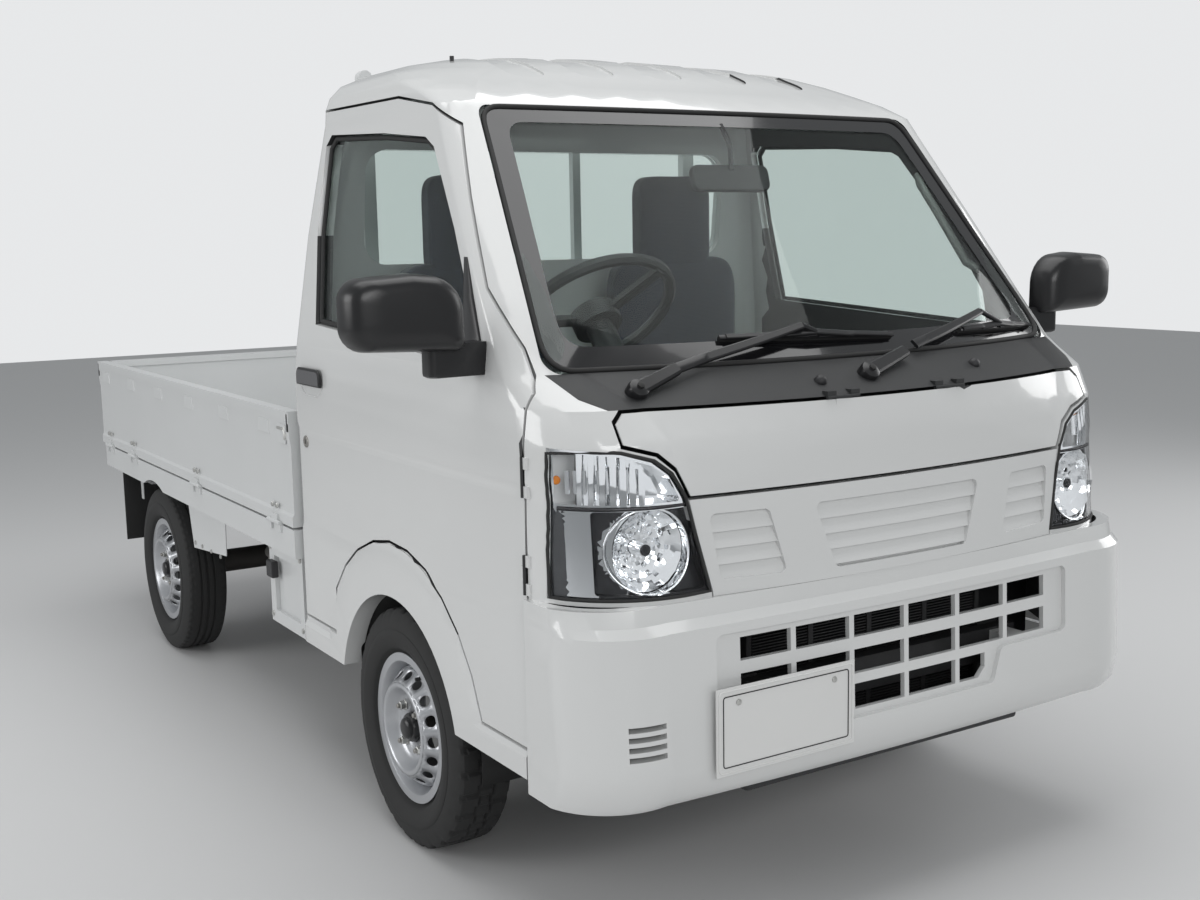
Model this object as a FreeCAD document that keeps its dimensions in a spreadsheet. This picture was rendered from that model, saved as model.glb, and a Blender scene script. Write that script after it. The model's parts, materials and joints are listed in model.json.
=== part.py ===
import FreeCAD, Part
import Sketcher
import math
import os
import re

# Kei truck: a cab-over pickup with a drop-side bed, 3.4 m long.
# Frame: +Z up from the ground, -Y is the nose, +X is the vehicle's left.
# The origin is on the ground under the middle of the truck. Lengths are millimetres.

SIZES = (
    # alias, value, meaning
    ("wheelbase", 1905, "front axle to rear axle"),
    ("louvre_depth", 12, "recesses of the grille panel"),
    ("front_overhang", 830.5, "bumper face to front axle"),
    ("rear_overhang", 659.5, "rear axle to the tail"),
    ("body_width", 1475, "over the body sides"),
    ("track", 1305, "between the middles of two tyres on one axle"),
    ("tyre_radius", 268.5, "outside of the tyre"),
    ("tyre_width", 145, "over the sidewalls"),
    ("bead_radius", 152.4, "seat of the tyre on the rim"),
    ("bead_width", 102, "between the rim flanges"),
    ("flange_height", 16, "rim flange above the bead seat"),
    ("sheet", 5, "rim and bracket sheet"),
    ("vent_ring_radius", 115, "circle of the rim's vent holes"),
    ("vent_radius", 11.5, "one vent hole"),
    ("vent_count", 16, "vent holes in a rim"),
    ("spindle_radius", 18, "stub axles"),
    ("running_gap", 0.06, "hub bore over the stub axle"),
    ("seat_gap", 0.3, "between fixed pieces that seat on each other"),
    ("shut_gap", 6, "round doors, lids and gates"),
    ("wall", 40, "doors and cab walls"),
    ("panel", 22, "lid, grille and bumper skins"),
    ("pane", 5, "glass"),
    ("sill_height", 345, "ground to the lower edge of the cab side"),
    ("bumper_band", 345, "sill to the top of the bumper"),
    ("grille_band", 180, "bumper top to the lid"),
    ("lid_band", 164, "height of the front lid"),
    ("cowl_band", 58, "lid to windscreen"),
    ("screen_band", 520, "height of the windscreen"),
    ("roof_band", 153, "windscreen to roof crown"),
    ("cab_length", 1411.5, "bumper face to the cab's rear wall"),
    ("rear_lean", 64, "rear wall's lean at the roof"),
    ("door_setback", 242.5, "bumper face to the doors' front edge"),
    ("door_sill", 58, "door's lower edge above the sill"),
    ("side_tuck", 7, "doors inboard of the sill and flare"),
    ("side_recess", 11, "pressed band of the doors inboard of the sill"),
    ("draft", 0.15, "taper of doors and windows per depth, so that a door swings out freely"),
    ("arch_radius", 302, "front wheel opening"),
    ("flare_radius", 424, "outline of the arch flare"),
    ("bed_height", 650, "ground to the bed floor"),
    ("floor_sheet", 24, "bed floor"),
    ("gate_height", 295, "drop sides"),
    ("gate_depth", 30, "thickness of a drop side"),
    ("guard_post", 493, "posts of the guard from the centre line"),
    ("hinge_radius", 5.5, "gate hinge barrels"),
    ("hinge_reach", 6, "gate hinge axis outboard of the gate"),
    ("hinge_length", 46, "one gate hinge barrel"),
    ("pin_radius", 3.5, "door and lid hinge barrels"),
    ("rail_centre", 330, "middle of a chassis rail from the centre line"),
    ("rail_width", 60, "chassis rail"),
    ("rail_bottom", 425, "ground to the chassis rails"),
    ("rail_depth", 80, "height of a chassis rail"),
    ("axle_radius", 38, "rear axle tube"),
    ("deck_height", 650, "cab deck under the seats"),
    ("floor_plate", 25, "cab floor and deck"),
    ("kingpin_inset", 62, "kingpin inboard of the tyre's middle"),
    ("hub_offset", 8, "bolting face of the rim outboard of its middle"),
    ("seat_centre", 310, "middle of a seat from the centre line"),
    ("seat_width", 440, "one seat"),
)

PLACES = (
    # name, expression over the sizes and the places above it
    ("front", "-(front_overhang + wheelbase + rear_overhang) / 2"),
    ("front_axle", "front + front_overhang"),
    ("rear_axle", "front_axle + wheelbase"),
    ("tail", "rear_axle + rear_overhang"),
    ("side", "body_width / 2"),
    ("wheel_x", "track / 2"),
    ("z_sill", "sill_height"),
    ("z_bumper", "z_sill + bumper_band"),
    ("z_grille", "z_bumper + grille_band"),
    ("z_lid", "z_grille + lid_band"),
    ("z_cowl", "z_lid + cowl_band"),
    ("z_screen", "z_cowl + screen_band"),
    ("z_roof", "z_screen + roof_band"),
    ("cab_rear", "front + cab_length"),
    ("door_front", "front + door_setback"),
    ("z_door", "z_sill + door_sill"),
    ("rail_top", "rail_bottom + rail_depth"),
    ("bed_under", "bed_height - floor_sheet"),
    ("bed_top", "bed_height + gate_height - floor_sheet"),
    ("kingpin_x", "wheel_x - kingpin_inset"),
    ("footwell", "rail_top + seat_gap + floor_plate"),
    ("gate_tail", "tail - hinge_reach - hinge_radius"),
    ("bed_front", "cab_rear + 6"),
    ("bed_back", "gate_tail - gate_depth - shut_gap"),
    ("bed_half", "side - gate_depth - shut_gap"),
)

doc = FreeCAD.newDocument("KeiTruck")
sheet = doc.addObject("Spreadsheet::Sheet", "sizes")
for row, (alias, amount, meaning) in enumerate(SIZES, start=1):
    sheet.set(f"A{row}", alias)
    sheet.set(f"B{row}", str(amount))
    sheet.setAlias(f"B{row}", alias)
    sheet.set(f"C{row}", meaning)
doc.recompute()
places = doc.addObject("App::VarSet", "places")

ALIASES = {alias for alias, amount, meaning in SIZES}
PLACE_NAMES = {name for name, expression in PLACES}


def full(expression):
    """The expression with each alias and place name led back to its owner."""
    def owner(match):
        word = match.group(0)
        if word in ALIASES:
            return "sizes." + word
        return "places." + word if word in PLACE_NAMES else word
    return re.sub(r"[A-Za-z_][A-Za-z_0-9]*", owner, str(expression))


for name, expression in PLACES:
    places.addProperty("App::PropertyFloat", name, "Places")
    places.setExpression(name, full(expression).replace("places.", ""))
doc.recompute()


def size(name):
    """The number behind an alias or a place."""
    return float(getattr(places, name) if name in PLACE_NAMES else sheet.get(name))


def bind(made, prop, expression):
    made.setExpression(prop, full(expression))


# ---------------------------------------------------------------- building blocks

def box(name, x, y, z):
    """A box between a low and a high expression along each axis."""
    made = doc.addObject("Part::Box", name)
    for axis, prop, (low, high) in zip("xyz", ("Length", "Width", "Height"), (x, y, z)):
        bind(made, prop, f"({high}) - ({low})")
        bind(made, f"Placement.Base.{axis}", low)
    return made


TURNS = {
    "x": FreeCAD.Rotation(FreeCAD.Vector(0, 1, 0), 90),
    "y": FreeCAD.Rotation(FreeCAD.Vector(1, 0, 0), -90),
    "z": FreeCAD.Rotation(),
}


def rod(name, axis, radius, start, end, centre):
    """A cylinder along an axis from start to end; centre holds the two other coordinates."""
    made = doc.addObject("Part::Cylinder", name)
    made.Placement = FreeCAD.Placement(FreeCAD.Vector(), TURNS[axis])
    bind(made, "Radius", radius)
    bind(made, "Height", f"({end}) - ({start})")
    bind(made, f"Placement.Base.{axis}", start)
    for other, expression in zip([a for a in "xyz" if a != axis], centre):
        bind(made, f"Placement.Base.{other}", expression)
    return made


def fuse(name, pieces):
    made = doc.addObject("Part::MultiFuse", name)
    made.Shapes = list(pieces)
    return made


def cut(name, base, tools):
    made = doc.addObject("Part::Cut", name)
    made.Base = base
    made.Tool = tools[0] if len(tools) == 1 else fuse(name + "_tools", tools)
    return made


def common(name, pieces):
    made = doc.addObject("Part::MultiCommon", name)
    made.Shapes = list(pieces)
    return made


def mirrored(name, source):
    made = doc.addObject("Part::Mirroring", name)
    made.Source = source
    made.Normal = (1, 0, 0)
    return made


def feature(name, shape):
    made = doc.addObject("Part::Feature", name)
    made.Shape = shape
    return made


def vector(x, y, z):
    return FreeCAD.Vector(x, y, z)


def face(points):
    """A flat face round a closed outline. A point (a, b, c) pair joined by 'arc' is a mid point."""
    edges = []
    last = points[0]
    pending = None
    for point in list(points[1:]) + [points[0]]:
        if point[0] == "by":
            pending = point[1]
            continue
        if pending is None:
            edges.append(Part.LineSegment(last, point).toShape())
        else:
            edges.append(Part.Arc(last, pending, point).toShape())
        last, pending = point, None
    return Part.Face(Part.Wire(edges))


def rounded(corners, radius):
    """Points of an outline whose corners are rounded, as face() reads them."""
    points = []
    count = len(corners)
    for number, corner in enumerate(corners):
        before = (corners[number - 1] - corner).normalize()
        after = (corners[(number + 1) % count] - corner).normalize()
        half_angle = before.getAngle(after) / 2
        reach = radius / math.tan(half_angle)
        centre = corner + (before + after).normalize() * (radius / math.sin(half_angle))
        mid = centre + (corner - centre).normalize() * radius
        points += [corner + before * reach, ("by", mid), corner + after * reach]
    first = points.pop(0)
    return [first] + points


low_edge = size("front") - 50
sub_parts = []


def keep(label, made):
    """Names a finished sub-part, which also names its file."""
    made.Label = label
    sub_parts.append(made)
    return made


# ---------------------------------------------------------------- body skin

# Plan sections of the cab from the sill up to the roof crown. Columns: level, rise above
# it, setback of the nose from the bumper face, bow of the nose, half the bowed width,
# inset of the side, depth of the front corner, share of the rear wall's lean.
SECTIONS = (
    ("z_sill", 0, 22, 30, 470, 0, 175, 0),
    ("z_door", -16, 22, 30, 470, 0, 175, 0),
    ("z_door", -4, 22, 30, 470, 7, 172, 0),
    ("z_bumper", -58, 22, 30, 470, 7, 172, 0),
    ("z_bumper", -36, 22, 30, 470, 11, 172, 0),
    ("z_bumper", 0, 22, 30, 470, 11, 172, 0),
    ("z_grille", 0, 35, 33, 480, 11, 172, 0),
    ("z_grille", 14, 35, 34, 484, 11, 172, 0),
    ("z_grille", 34, 35, 37, 490, 7, 172, 0),
    ("z_lid", -60, 36, 50, 510, 7, 165, 0),
    ("z_lid", 0, 43, 84, 545, 9, 150, 0),
    ("z_cowl", 0, 152, 100, 600, 13, 75, 0.1),
    ("z_screen", -260, 392, 66, 590, 46, 66, 0.5),
    ("z_screen", 0, 637, 22, 578, 90, 55, 1),
    ("z_roof", -118, 700, 24, 545, 94, 90, 0.95),
    ("z_roof", -90, 764, 26, 505, 104, 130, 1),
    ("z_roof", -62, 822, 30, 450, 132, 160, 1.05),
    ("z_roof", -38, 880, 34, 390, 190, 150, 1.15),
    ("z_roof", -18, 950, 34, 300, 290, 120, 1.4),
    ("z_roof", 0, 1060, 30, 150, 450, 100, 2),
)
REAR_CORNER = 45


def plan_wire(section, inset, level=None):
    """One plan section as lines and arcs, moved in by an inset."""
    name, rise, setback, bow, bow_half, side_inset, corner, lean = section
    z = size(name) + rise if level is None else level
    nose = size("front") + setback + inset
    shoulder = nose + bow
    side = size("side") - side_inset - inset
    bow_half = min(bow_half, side - 30) - inset * 0.4
    tangent = shoulder + corner
    rear = size("cab_rear") - lean * size("rear_lean") - inset
    turn = REAR_CORNER
    far, near = math.cos(math.pi / 4), 1 - math.cos(math.pi / 4)

    def half_of(sign):
        corner_mid = vector(sign * (bow_half + (side - bow_half) * far), shoulder + corner * near, z)
        rear_mid = vector(sign * (side - turn * near), rear - turn * near, z)
        return corner_mid, rear_mid

    left_corner, left_rear = half_of(1)
    right_corner, right_rear = half_of(-1)
    points = [
        vector(-bow_half, shoulder, z), ("by", vector(0, nose, z)), vector(bow_half, shoulder, z),
        ("by", left_corner), vector(side, tangent, z), vector(side, rear - turn, z),
        ("by", left_rear), vector(side - turn, rear, z), vector(-side + turn, rear, z),
        ("by", right_rear), vector(-side, rear - turn, z), vector(-side, tangent, z),
        ("by", right_corner),
    ]
    return face(points).OuterWire


def level_of(section):
    return size(section[0]) + section[1]


def rows_between(low, high):
    """The sections from one named level up to another."""
    return [s for s in SECTIONS if size(low) <= level_of(s) <= size(high)]


def section_at(level):
    """A section mixed from the two rows on either side of a level."""
    for below, above in zip(SECTIONS, SECTIONS[1:]):
        if level <= level_of(above):
            break
    share = (level - level_of(below)) / (level_of(above) - level_of(below))
    return ("z_sill", 0, *[a + (b - a) * share for a, b in zip(below[2:], above[2:])])


def skin_solid(sections, inset):
    return Part.makeLoft([plan_wire(section, inset) for section in sections], True, True)


def inner_solid(inset, ceiling, floor):
    """The space inside the skin, under a flat ceiling and from below the sill."""
    kept = [s for s in SECTIONS[1:] if level_of(s) < ceiling]
    wires = [plan_wire(SECTIONS[0], inset, floor)] + [plan_wire(section, inset) for section in kept]
    wires.append(plan_wire(section_at(ceiling), inset, ceiling))
    return Part.makeLoft(wires, True, True)


def prism(points, along, length):
    """A prism from a flat outline."""
    return face(points).extrude(along * length)


def side_half(height):
    """Half width of the cab's side at a height."""
    levels = [(level_of(s), size("side") - s[5]) for s in SECTIONS]
    for (low, wide), (high, narrow) in zip(levels, levels[1:]):
        if height <= high:
            share = max(0.0, (height - low) / (high - low))
            return wide + (narrow - wide) * share
    return levels[-1][1]


def plug(outline, sign, grow=0.0):
    """A tapered plug through the cab side. Its outline, corners (y, z), lies on the skin."""
    rings = []
    for reach in (size("side") + 60, size("side") - 240):
        ring = []
        normals = miters(outline)
        for (y, z), (out_y, out_z) in zip(outline, normals):
            away = grow - size("draft") * (side_half(z) - reach)
            ring.append(vector(sign * reach, y + out_y * away, z + out_z * away))
        rings.append(Part.makePolygon(ring + [ring[0]]))
    return Part.makeLoft(rings, True, True)


def miters(outline):
    """At each corner, the outward step that moves both of its sides out by one."""
    pairs = list(zip(outline, outline[1:] + outline[:1]))
    turn = 1 if sum(a[0] * b[1] - b[0] * a[1] for a, b in pairs) > 0 else -1
    sides = []
    for (y0, z0), (y1, z1) in pairs:
        length = math.hypot(y1 - y0, z1 - z0)
        sides.append((turn * (z1 - z0) / length, -turn * (y1 - y0) / length))
    steps = []
    for before, after in zip([sides[-1]] + sides[:-1], sides):
        y, z = before[0] + after[0], before[1] + after[1]
        scale = 2 / (y * y + z * z)
        steps.append((y * scale, z * scale))
    return steps


def arc_points(centre_y, centre_z, radius, start, end, steps):
    """Points along an arc in the side view, angles in degrees from +Y towards +Z."""
    angles = [math.radians(start + (end - start) * n / steps) for n in range(steps + 1)]
    return [(centre_y + radius * math.cos(a), centre_z + radius * math.sin(a)) for a in angles]


def core(inset):
    """The space between the two cab sides, from the front view."""
    levels = [s for s in SECTIONS if s[0] != "z_roof" or s[1] < -60]
    half = [(size("side") - s[5] - inset, level_of(s)) for s in levels]
    half[0] = (half[0][0], half[0][1] - 100)
    outline = [vector(x, low_edge, z) for x, z in half + [(-x, z) for x, z in reversed(half)]]
    return prism(outline, vector(0, 1, 0), 2000)


def door_outline():
    """Door outline on the skin as (y, z), from the arch's front foot over the wheel."""
    front, rear = size("door_front"), size("cab_rear") - 6
    low, axle_y, axle_z = size("z_door"), size("front_axle"), size("tyre_radius")
    flare, rear_foot = size("flare_radius"), 338
    start = 180 - math.degrees(math.asin((low - axle_z) / flare))
    end = math.degrees(math.acos(rear_foot / flare))
    top, belt = size("z_screen"), size("z_cowl")
    return arc_points(axle_y, axle_z, flare, start, end, 10) + [
        (axle_y + rear_foot, low + 14), (rear, low + 14), (rear, belt - 70),
        (rear - 52, top + 6), (rear - 90, top + 30), (front + 655, top + 26),
        (front + 485, top - 2), (front + 395, top - 44), (front + 300, top - 190),
        (front + 181, top - 366), (front + 66, belt + 48), (front, belt - 30), (front, low),
    ]


def window_outline():
    sill, top, front = size("z_cowl"), size("z_screen"), size("door_front")
    rear = size("cab_rear")
    return [
        (rear - 158, sill + 52), (rear - 128, sill + 270), (rear - 122, top - 50),
        (rear - 150, top - 26), (rear - 450, top - 42), (front + 500, top - 64),
        (front + 455, top - 86), (front + 316, top - 255),
        (front + 160, sill + 20), (front + 175, sill + 4),
    ]


ceiling = size("z_roof") - 62
skin_outer = skin_solid(SECTIONS, 0)
skin_wall = skin_outer.cut(inner_solid(size("wall"), ceiling, size("z_sill") - 10))
front_sections = rows_between("z_bumper", "z_cowl")
screen_rows = rows_between("z_cowl", "z_screen")


def layer(sections, outer, inner):
    """A shell of the skin between two insets."""
    tall = [plan_wire(s, inner) for s in sections]
    return skin_solid(sections, outer).cut(Part.makeLoft(tall, True, True))


def front_prism(points, radius=0, depth=520):
    """A prism along Y from a front-view outline of (x, z) pairs."""
    corners = [vector(x, low_edge, z) for x, z in points]
    outline = rounded(corners, radius) if radius else corners
    return prism(outline, vector(0, 1, 0), depth)


def mirror_x(shape):
    return shape.mirror(vector(0, 0, 0), vector(1, 0, 0))


def both_sides(shape):
    return Part.makeCompound([shape, mirror_x(shape)])


# Front view outlines on the vehicle's left; the right is their mirror image.
def lamp_points(grow=0.0):
    """Headlamp: inner edge leans out from the grille to the lid's corner."""
    base, lid, side = size("z_bumper"), size("z_grille"), size("side")
    return [
        (451 - grow, base + 9 - grow), (474 - grow, base + 106), (493 - grow, lid + 4),
        (518 - grow, lid + 50), (552 - grow, lid + 76 + grow), (611, lid + 93 + grow),
        (side + 60, lid + 107 + grow), (side + 60, base + 9 - grow),
    ]


def lid_points(inset=0.0):
    """Front lid between its two side shut lines."""
    low, high = size("z_grille") + inset, size("z_lid") - inset
    half = [(489 - inset, low), (514 - inset, low + 53), (549 - inset, low + 82),
            (611 - inset, low + 100), (613 - inset, high - 18), (595 - inset, high)]
    return half + [(-x, z) for x, z in reversed(half)]


lamp_front = size("front") + 190
lamp_space = front_prism(lamp_points(), depth=lamp_front - low_edge)
lamp_cut = front_prism(lamp_points(size("seat_gap")), depth=lamp_front + size("seat_gap") - low_edge)
lid_cut = front_prism(lid_points(0))
grille_cut = front_prism([
    (451, size("z_bumper") - 20), (451, size("z_bumper") + 9), (474, size("z_bumper") + 106),
    (489, size("z_grille")), (-489, size("z_grille")), (-474, size("z_bumper") + 106),
    (-451, size("z_bumper") + 9), (-451, size("z_bumper") - 20),
])


def cowl_points(inset=0.0):
    """The cowl sweeps up at its ends along the foot of each pillar."""
    low, high = size("z_lid") + inset, size("z_cowl") - inset
    half = [(613 - inset, low), (646 - inset, low + 18), (668 - inset, high)]
    return half + [(-x, z) for x, z in reversed(half)]


def screen_points(inset=0.0):
    low, high = size("z_cowl") + inset, size("z_screen") - 4 - inset
    half = [(668 - inset, low), (584 - inset, high)]
    return half + [(-x, z) for x, z in reversed(half)]


def rear_glass_outline(inset=0.0):
    """The rear window's outline, ahead of the rear wall."""
    half = 545 - inset
    low, high = size("z_cowl") + 186 + inset, size("z_screen") - 54 - inset
    corners = [vector(x, size("cab_rear") - 160, z) for x, z in (
        (half, low), (half, high), (-half, high), (-half, low))]
    return rounded(corners, 60)


def arch_flare(sign):
    """The flare round a front wheel: a ring about the wheel that stands out to the sill's width."""
    side, tuck = size("side"), size("side_tuck")
    inner, outer = size("arch_radius") - 4, size("flare_radius") - size("shut_gap") - 2
    root = side - size("wall") + 10
    points = [(root, inner), (side, inner), (side, outer - 26), (side - tuck, outer), (root, outer)]
    axle_y, axle_z = size("front_axle"), size("tyre_radius")
    profile = face([vector(sign * x, axle_y + radius, axle_z) for x, radius in points])
    ring = profile.revolve(vector(0, axle_y, axle_z), vector(1, 0, 0), 360)
    below = Part.makeBox(4 * outer, 4 * outer, 2 * outer, vector(
        -2 * outer, axle_y - 2 * outer, size("z_sill") - 2 * outer))
    return ring.cut(below)


# Grooves between the roof's long ribs: middle from the centre line, half width
ROOF_GROOVES = ((0, 52), (190, 52), (-190, 52), (370, 46), (-370, 46))
GROOVE_DEPTH = 5


def roof_grooves():
    """Strips of the roof's outermost layer."""
    layer_above = skin_outer.cut(skin_outer.translated(vector(0, 0, -GROOVE_DEPTH)))
    start, end, low = size("front") + 800, size("cab_rear") - 150, size("z_roof") - 110
    strips = []
    for middle, half in ROOF_GROOVES:
        corners = [vector(middle + x, y, low) for x, y in (
            (-half, start), (half, start), (half, end), (-half, end))]
        strips.append(prism(rounded(corners, half - 8), vector(0, 0, 1), 200))
    return [layer_above.common(strip) for strip in strips]


def build_shell():
    """Cab walls, pillars and roof, with the door openings, arches and windows cut."""
    shell = skin_wall
    for sign in (1, -1):
        shell = shell.fuse(arch_flare(sign))
    door = door_outline()
    inside = core(size("wall") + 1 + size("shut_gap"))
    axle_y, axle_z = size("front_axle"), size("tyre_radius")
    cuts = []
    for sign in (1, -1):
        cuts.append(plug(door, sign, size("shut_gap")).cut(inside))
        arch = Part.makeCylinder(
            size("arch_radius"), 260, vector(sign * size("side") - 130, axle_y, axle_z), vector(1, 0, 0))
        foot = Part.makeBox(260, 2 * size("arch_radius") - 24, axle_z,
                            vector(sign * size("side") - 130, axle_y - size("arch_radius") + 12, 0))
        cuts += [arch, foot]
    cuts.append(Part.makeBox(
        2 * size("body_width"), size("door_setback") + 50, size("z_bumper") + 200,
        vector(-size("body_width"), low_edge, -200)))
    cuts += [both_sides(lamp_cut), lid_cut, grille_cut]
    cuts.append(front_prism(cowl_points(), depth=320))
    cuts.append(Part.makeBox(
        2 * (size("side") - size("wall")), 2 * size("wall"), size("rail_top") + 10,
        vector(size("wall") - size("side"), size("cab_rear") - size("wall") - 1, 0)))
    cuts.append(front_prism(screen_points(), radius=28, depth=800))
    cuts.append(prism(rear_glass_outline(), vector(0, 1, 0), 260))
    cuts += roof_grooves()
    for tool in cuts:
        shell = shell.cut(tool)
    return shell


# ---------------------------------------------------------------- doors

HINGE_LEVELS = (330, 510)


def door_hinges(sign):
    """Barrels on the door's axis at its outer front edge: the door's and the pillar's."""
    x, y = sign * (size("side") - size("side_tuck")), size("door_front")
    radius, gap = size("pin_radius"), size("seat_gap")
    moving, fixed, clear = [], [], []
    for rise in HINGE_LEVELS:
        z = size("z_door") + rise
        for low, high, group, back in (
                (-15, 15, moving, 1), (-37, -15 - gap, fixed, -1), (15 + gap, 37, fixed, -1)):
            barrel = Part.makeCylinder(radius, high - low, vector(x, y, z + low))
            leaf_y = y if back > 0 else y - 15.5
            leaf = Part.makeBox(8, 14, high - low, vector(x - 4 - sign * 4, leaf_y, z + low))
            group.append(barrel.fuse(leaf))
        clear.append(Part.makeCylinder(radius + 1, 76, vector(x, y, z - 38)))
    return moving, fixed, clear


for sign, side_name in ((1, "left"), (-1, "right")):
    moving, fixed, clear = door_hinges(sign)
    panel = skin_wall.common(plug(door_outline(), sign)).cut(core(size("wall") + 1))
    panel = panel.cut(plug(window_outline(), sign))
    for tool in clear:
        panel = panel.cut(tool)
    for piece in moving:
        panel = panel.fuse(piece)
    keep(f"door_{side_name}", feature(f"Door{side_name.title()}", panel))
    slab = skin_outer.common(plug(window_outline(), sign, -size("seat_gap")))
    pane = slab.common(layer(screen_rows, 14, 14 + size("pane")))
    keep(f"door_glass_{side_name}", feature(f"DoorGlass{side_name.title()}", pane))


def door_mirror(sign):
    """Mirror head on a foot at the window's lower front corner."""
    y, z, x = size("door_front") + 92, size("z_cowl") + 100, size("side")
    corners = [(x + 36, -60), (x + 56, 34), (x + 156, 90), (x + 262, 72), (x + 270, 40), (x + 270, -36), (x + 236, -54)]
    back = face(rounded([vector(a, y + 72, z + b) for a, b in corners], 14)).OuterWire
    middle_x, middle_z, taper = x + 153, z + 8, 0.8
    front = face(rounded([
        vector(middle_x + (a - middle_x) * taper, y, middle_z + (z + b - middle_z) * taper)
        for a, b in corners], 12)).OuterWire
    shoulder = face(rounded([vector(a, y + 26, z + b) for a, b in corners], 14)).OuterWire
    head = Part.makeLoft([front, shoulder, back], True, True)
    foot = prism(rounded([
        vector(x - 40, y + 20, z - 104), vector(x + 70, y + 20, z - 72), vector(x + 84, y + 20, z + 10),
        vector(x + 40, y + 20, z + 10), vector(x - 40, y + 20, z - 34)], 8), vector(0, 1, 0), 46)
    whole = head.fuse(foot).cut(skin_outer)
    biggest = max(whole.Solids, key=lambda solid: solid.Volume)
    return biggest if sign > 0 else mirror_x(biggest)


for sign, side_name in ((1, "left"), (-1, "right")):
    keep(f"mirror_{side_name}", feature(f"Mirror{side_name.title()}", door_mirror(sign)))

grip = box("HandleGrip", ("side - 30", "side + 4"), ("cab_rear - 214", "cab_rear - 66"),
           ("z_lid - 36", "z_lid + 6"))
handle = cut("DoorHandleLeft", grip, [feature("SkinTool", skin_outer)])
keep("door_handle_left", handle)
keep("door_handle_right", mirrored("DoorHandleRight", handle))

shell = build_shell()
for sign in (1, -1):
    moving, fixed, clear = door_hinges(sign)
    for tool in clear:
        shell = shell.cut(tool)
    for piece in fixed:
        shell = shell.fuse(piece)
keep("cab_shell", feature("CabShell", shell))

# ---------------------------------------------------------------- nose

panel_skin = layer(front_sections, 0, size("panel"))
gap = size("seat_gap")
# The lid is a thin skin with a frame behind it, set in from the skin's edge. Its hinge axis
# runs along X, behind the body's front and under the lid's top.
LID_SKIN, LID_DEPTH, LID_FRAME_INSET = 3, 8, 14
LID_HINGES = (-140, 140)
LID_BARREL, LID_AXIS_BACK, LID_AXIS_DROP = 18, 48, 2
lid_skin = layer(front_sections, 0, LID_SKIN).common(front_prism(lid_points(size("shut_gap"))))
lid_frame = layer(front_sections, LID_SKIN, LID_DEPTH).common(
    front_prism(lid_points(size("shut_gap") + LID_FRAME_INSET)))
lid_shape = lid_skin.fuse(lid_frame)


def lid_barrel(x, low, high, radius):
    """A stretch of the lid's hinge axis, just ahead of the skin."""
    centre = vector(x + low, size("front") + LID_AXIS_BACK, size("z_lid") - LID_AXIS_DROP)
    return Part.makeCylinder(radius, high - low, centre, vector(1, 0, 0))


def lid_hinge(x, low, high, leaf_low, leaf_high):
    """One barrel on the lid's axis with its leaf down to the lid or up to the cowl."""
    y, z = size("front") + LID_AXIS_BACK, size("z_lid") - LID_AXIS_DROP
    leaf = Part.makeBox(high - low, 16, leaf_high - leaf_low, vector(x + low, y - 1, z + leaf_low))
    return lid_barrel(x, low, high, size("pin_radius")).fuse(leaf)


for x in LID_HINGES:
    lid_shape = lid_shape.cut(lid_barrel(x, -44, 44, size("pin_radius") + 1))
    lid_shape = lid_shape.fuse(lid_hinge(x, -LID_BARREL, LID_BARREL, -30, 0))
keep("front_lid", feature("FrontLid", lid_shape))

# Recesses of the grille panel in the front view, the middle one and the left one.
# Corners are (x, height above the panel's foot), and each is as deep as louvre_depth.
MIDDLE_RECESS = ((218, 148), (172, 20), (-172, 20), (-218, 148))
SIDE_RECESS = ((448, 150), (430, 30), (286, 25), (320, 148))
# Lower lips of the louvres above the panel's foot, and the top and foot of their stack
LOUVRE_LIPS = (20, 50, 80, 110, 148)


def louvres():
    """A stack of slats, each leaning out from its root to its lower lip."""
    foot, slats = size("z_bumper"), []
    for low, high in zip(LOUVRE_LIPS, LOUVRE_LIPS[1:]):
        slats.append(Part.makeLoft([
            plan_wire(section_at(foot + low + 5), 3.5, foot + low + 5),
            plan_wire(section_at(foot + high + 5), size("louvre_depth"), foot + high + 5)], True, True))
    return slats


def grille_recess():
    """What is taken out of the panel's face: both kinds of recess, down to the louvres."""
    foot = size("z_bumper")
    openings = [[(x, foot + rise) for x, rise in outline] for outline in (
        MIDDLE_RECESS, SIDE_RECESS, [(-x, rise) for x, rise in SIDE_RECESS])]
    blocks = [front_prism(outline, radius=12, depth=200) for outline in openings]
    for kept in [skin_solid(front_sections, size("louvre_depth"))] + louvres():
        blocks = [block.cut(kept) for block in blocks]
    return blocks


foot = size("z_bumper")
grille_right = [(448, foot + 0.5), (448, foot + 9), (471, foot + 106), (487, size("z_grille") - 1)]
grille_shape = panel_skin.common(front_prism(grille_right + [(-x, z) for x, z in reversed(grille_right)]))
for recess in grille_recess():
    grille_shape = grille_shape.cut(recess)
keep("grille_panel", feature("GrillePanel", grille_shape))

cowl_shape = panel_skin.common(front_prism(cowl_points(gap), depth=320 - gap))
for x in LID_HINGES:
    cowl_shape = cowl_shape.cut(lid_barrel(x, -LID_BARREL - gap, LID_BARREL + gap, size("pin_radius") + 1))
    cowl_shape = cowl_shape.fuse(lid_hinge(x, -40, -LID_BARREL - gap, 0, 12))
    cowl_shape = cowl_shape.fuse(lid_hinge(x, LID_BARREL + gap, 40, 0, 12))
keep("cowl", feature("Cowl", cowl_shape))

screen_layer = layer(screen_rows, 4, 4 + size("pane"))
keep("windscreen", feature("Windscreen", screen_layer.common(
    front_prism(screen_points(size("seat_gap")), radius=28, depth=800))))

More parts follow.
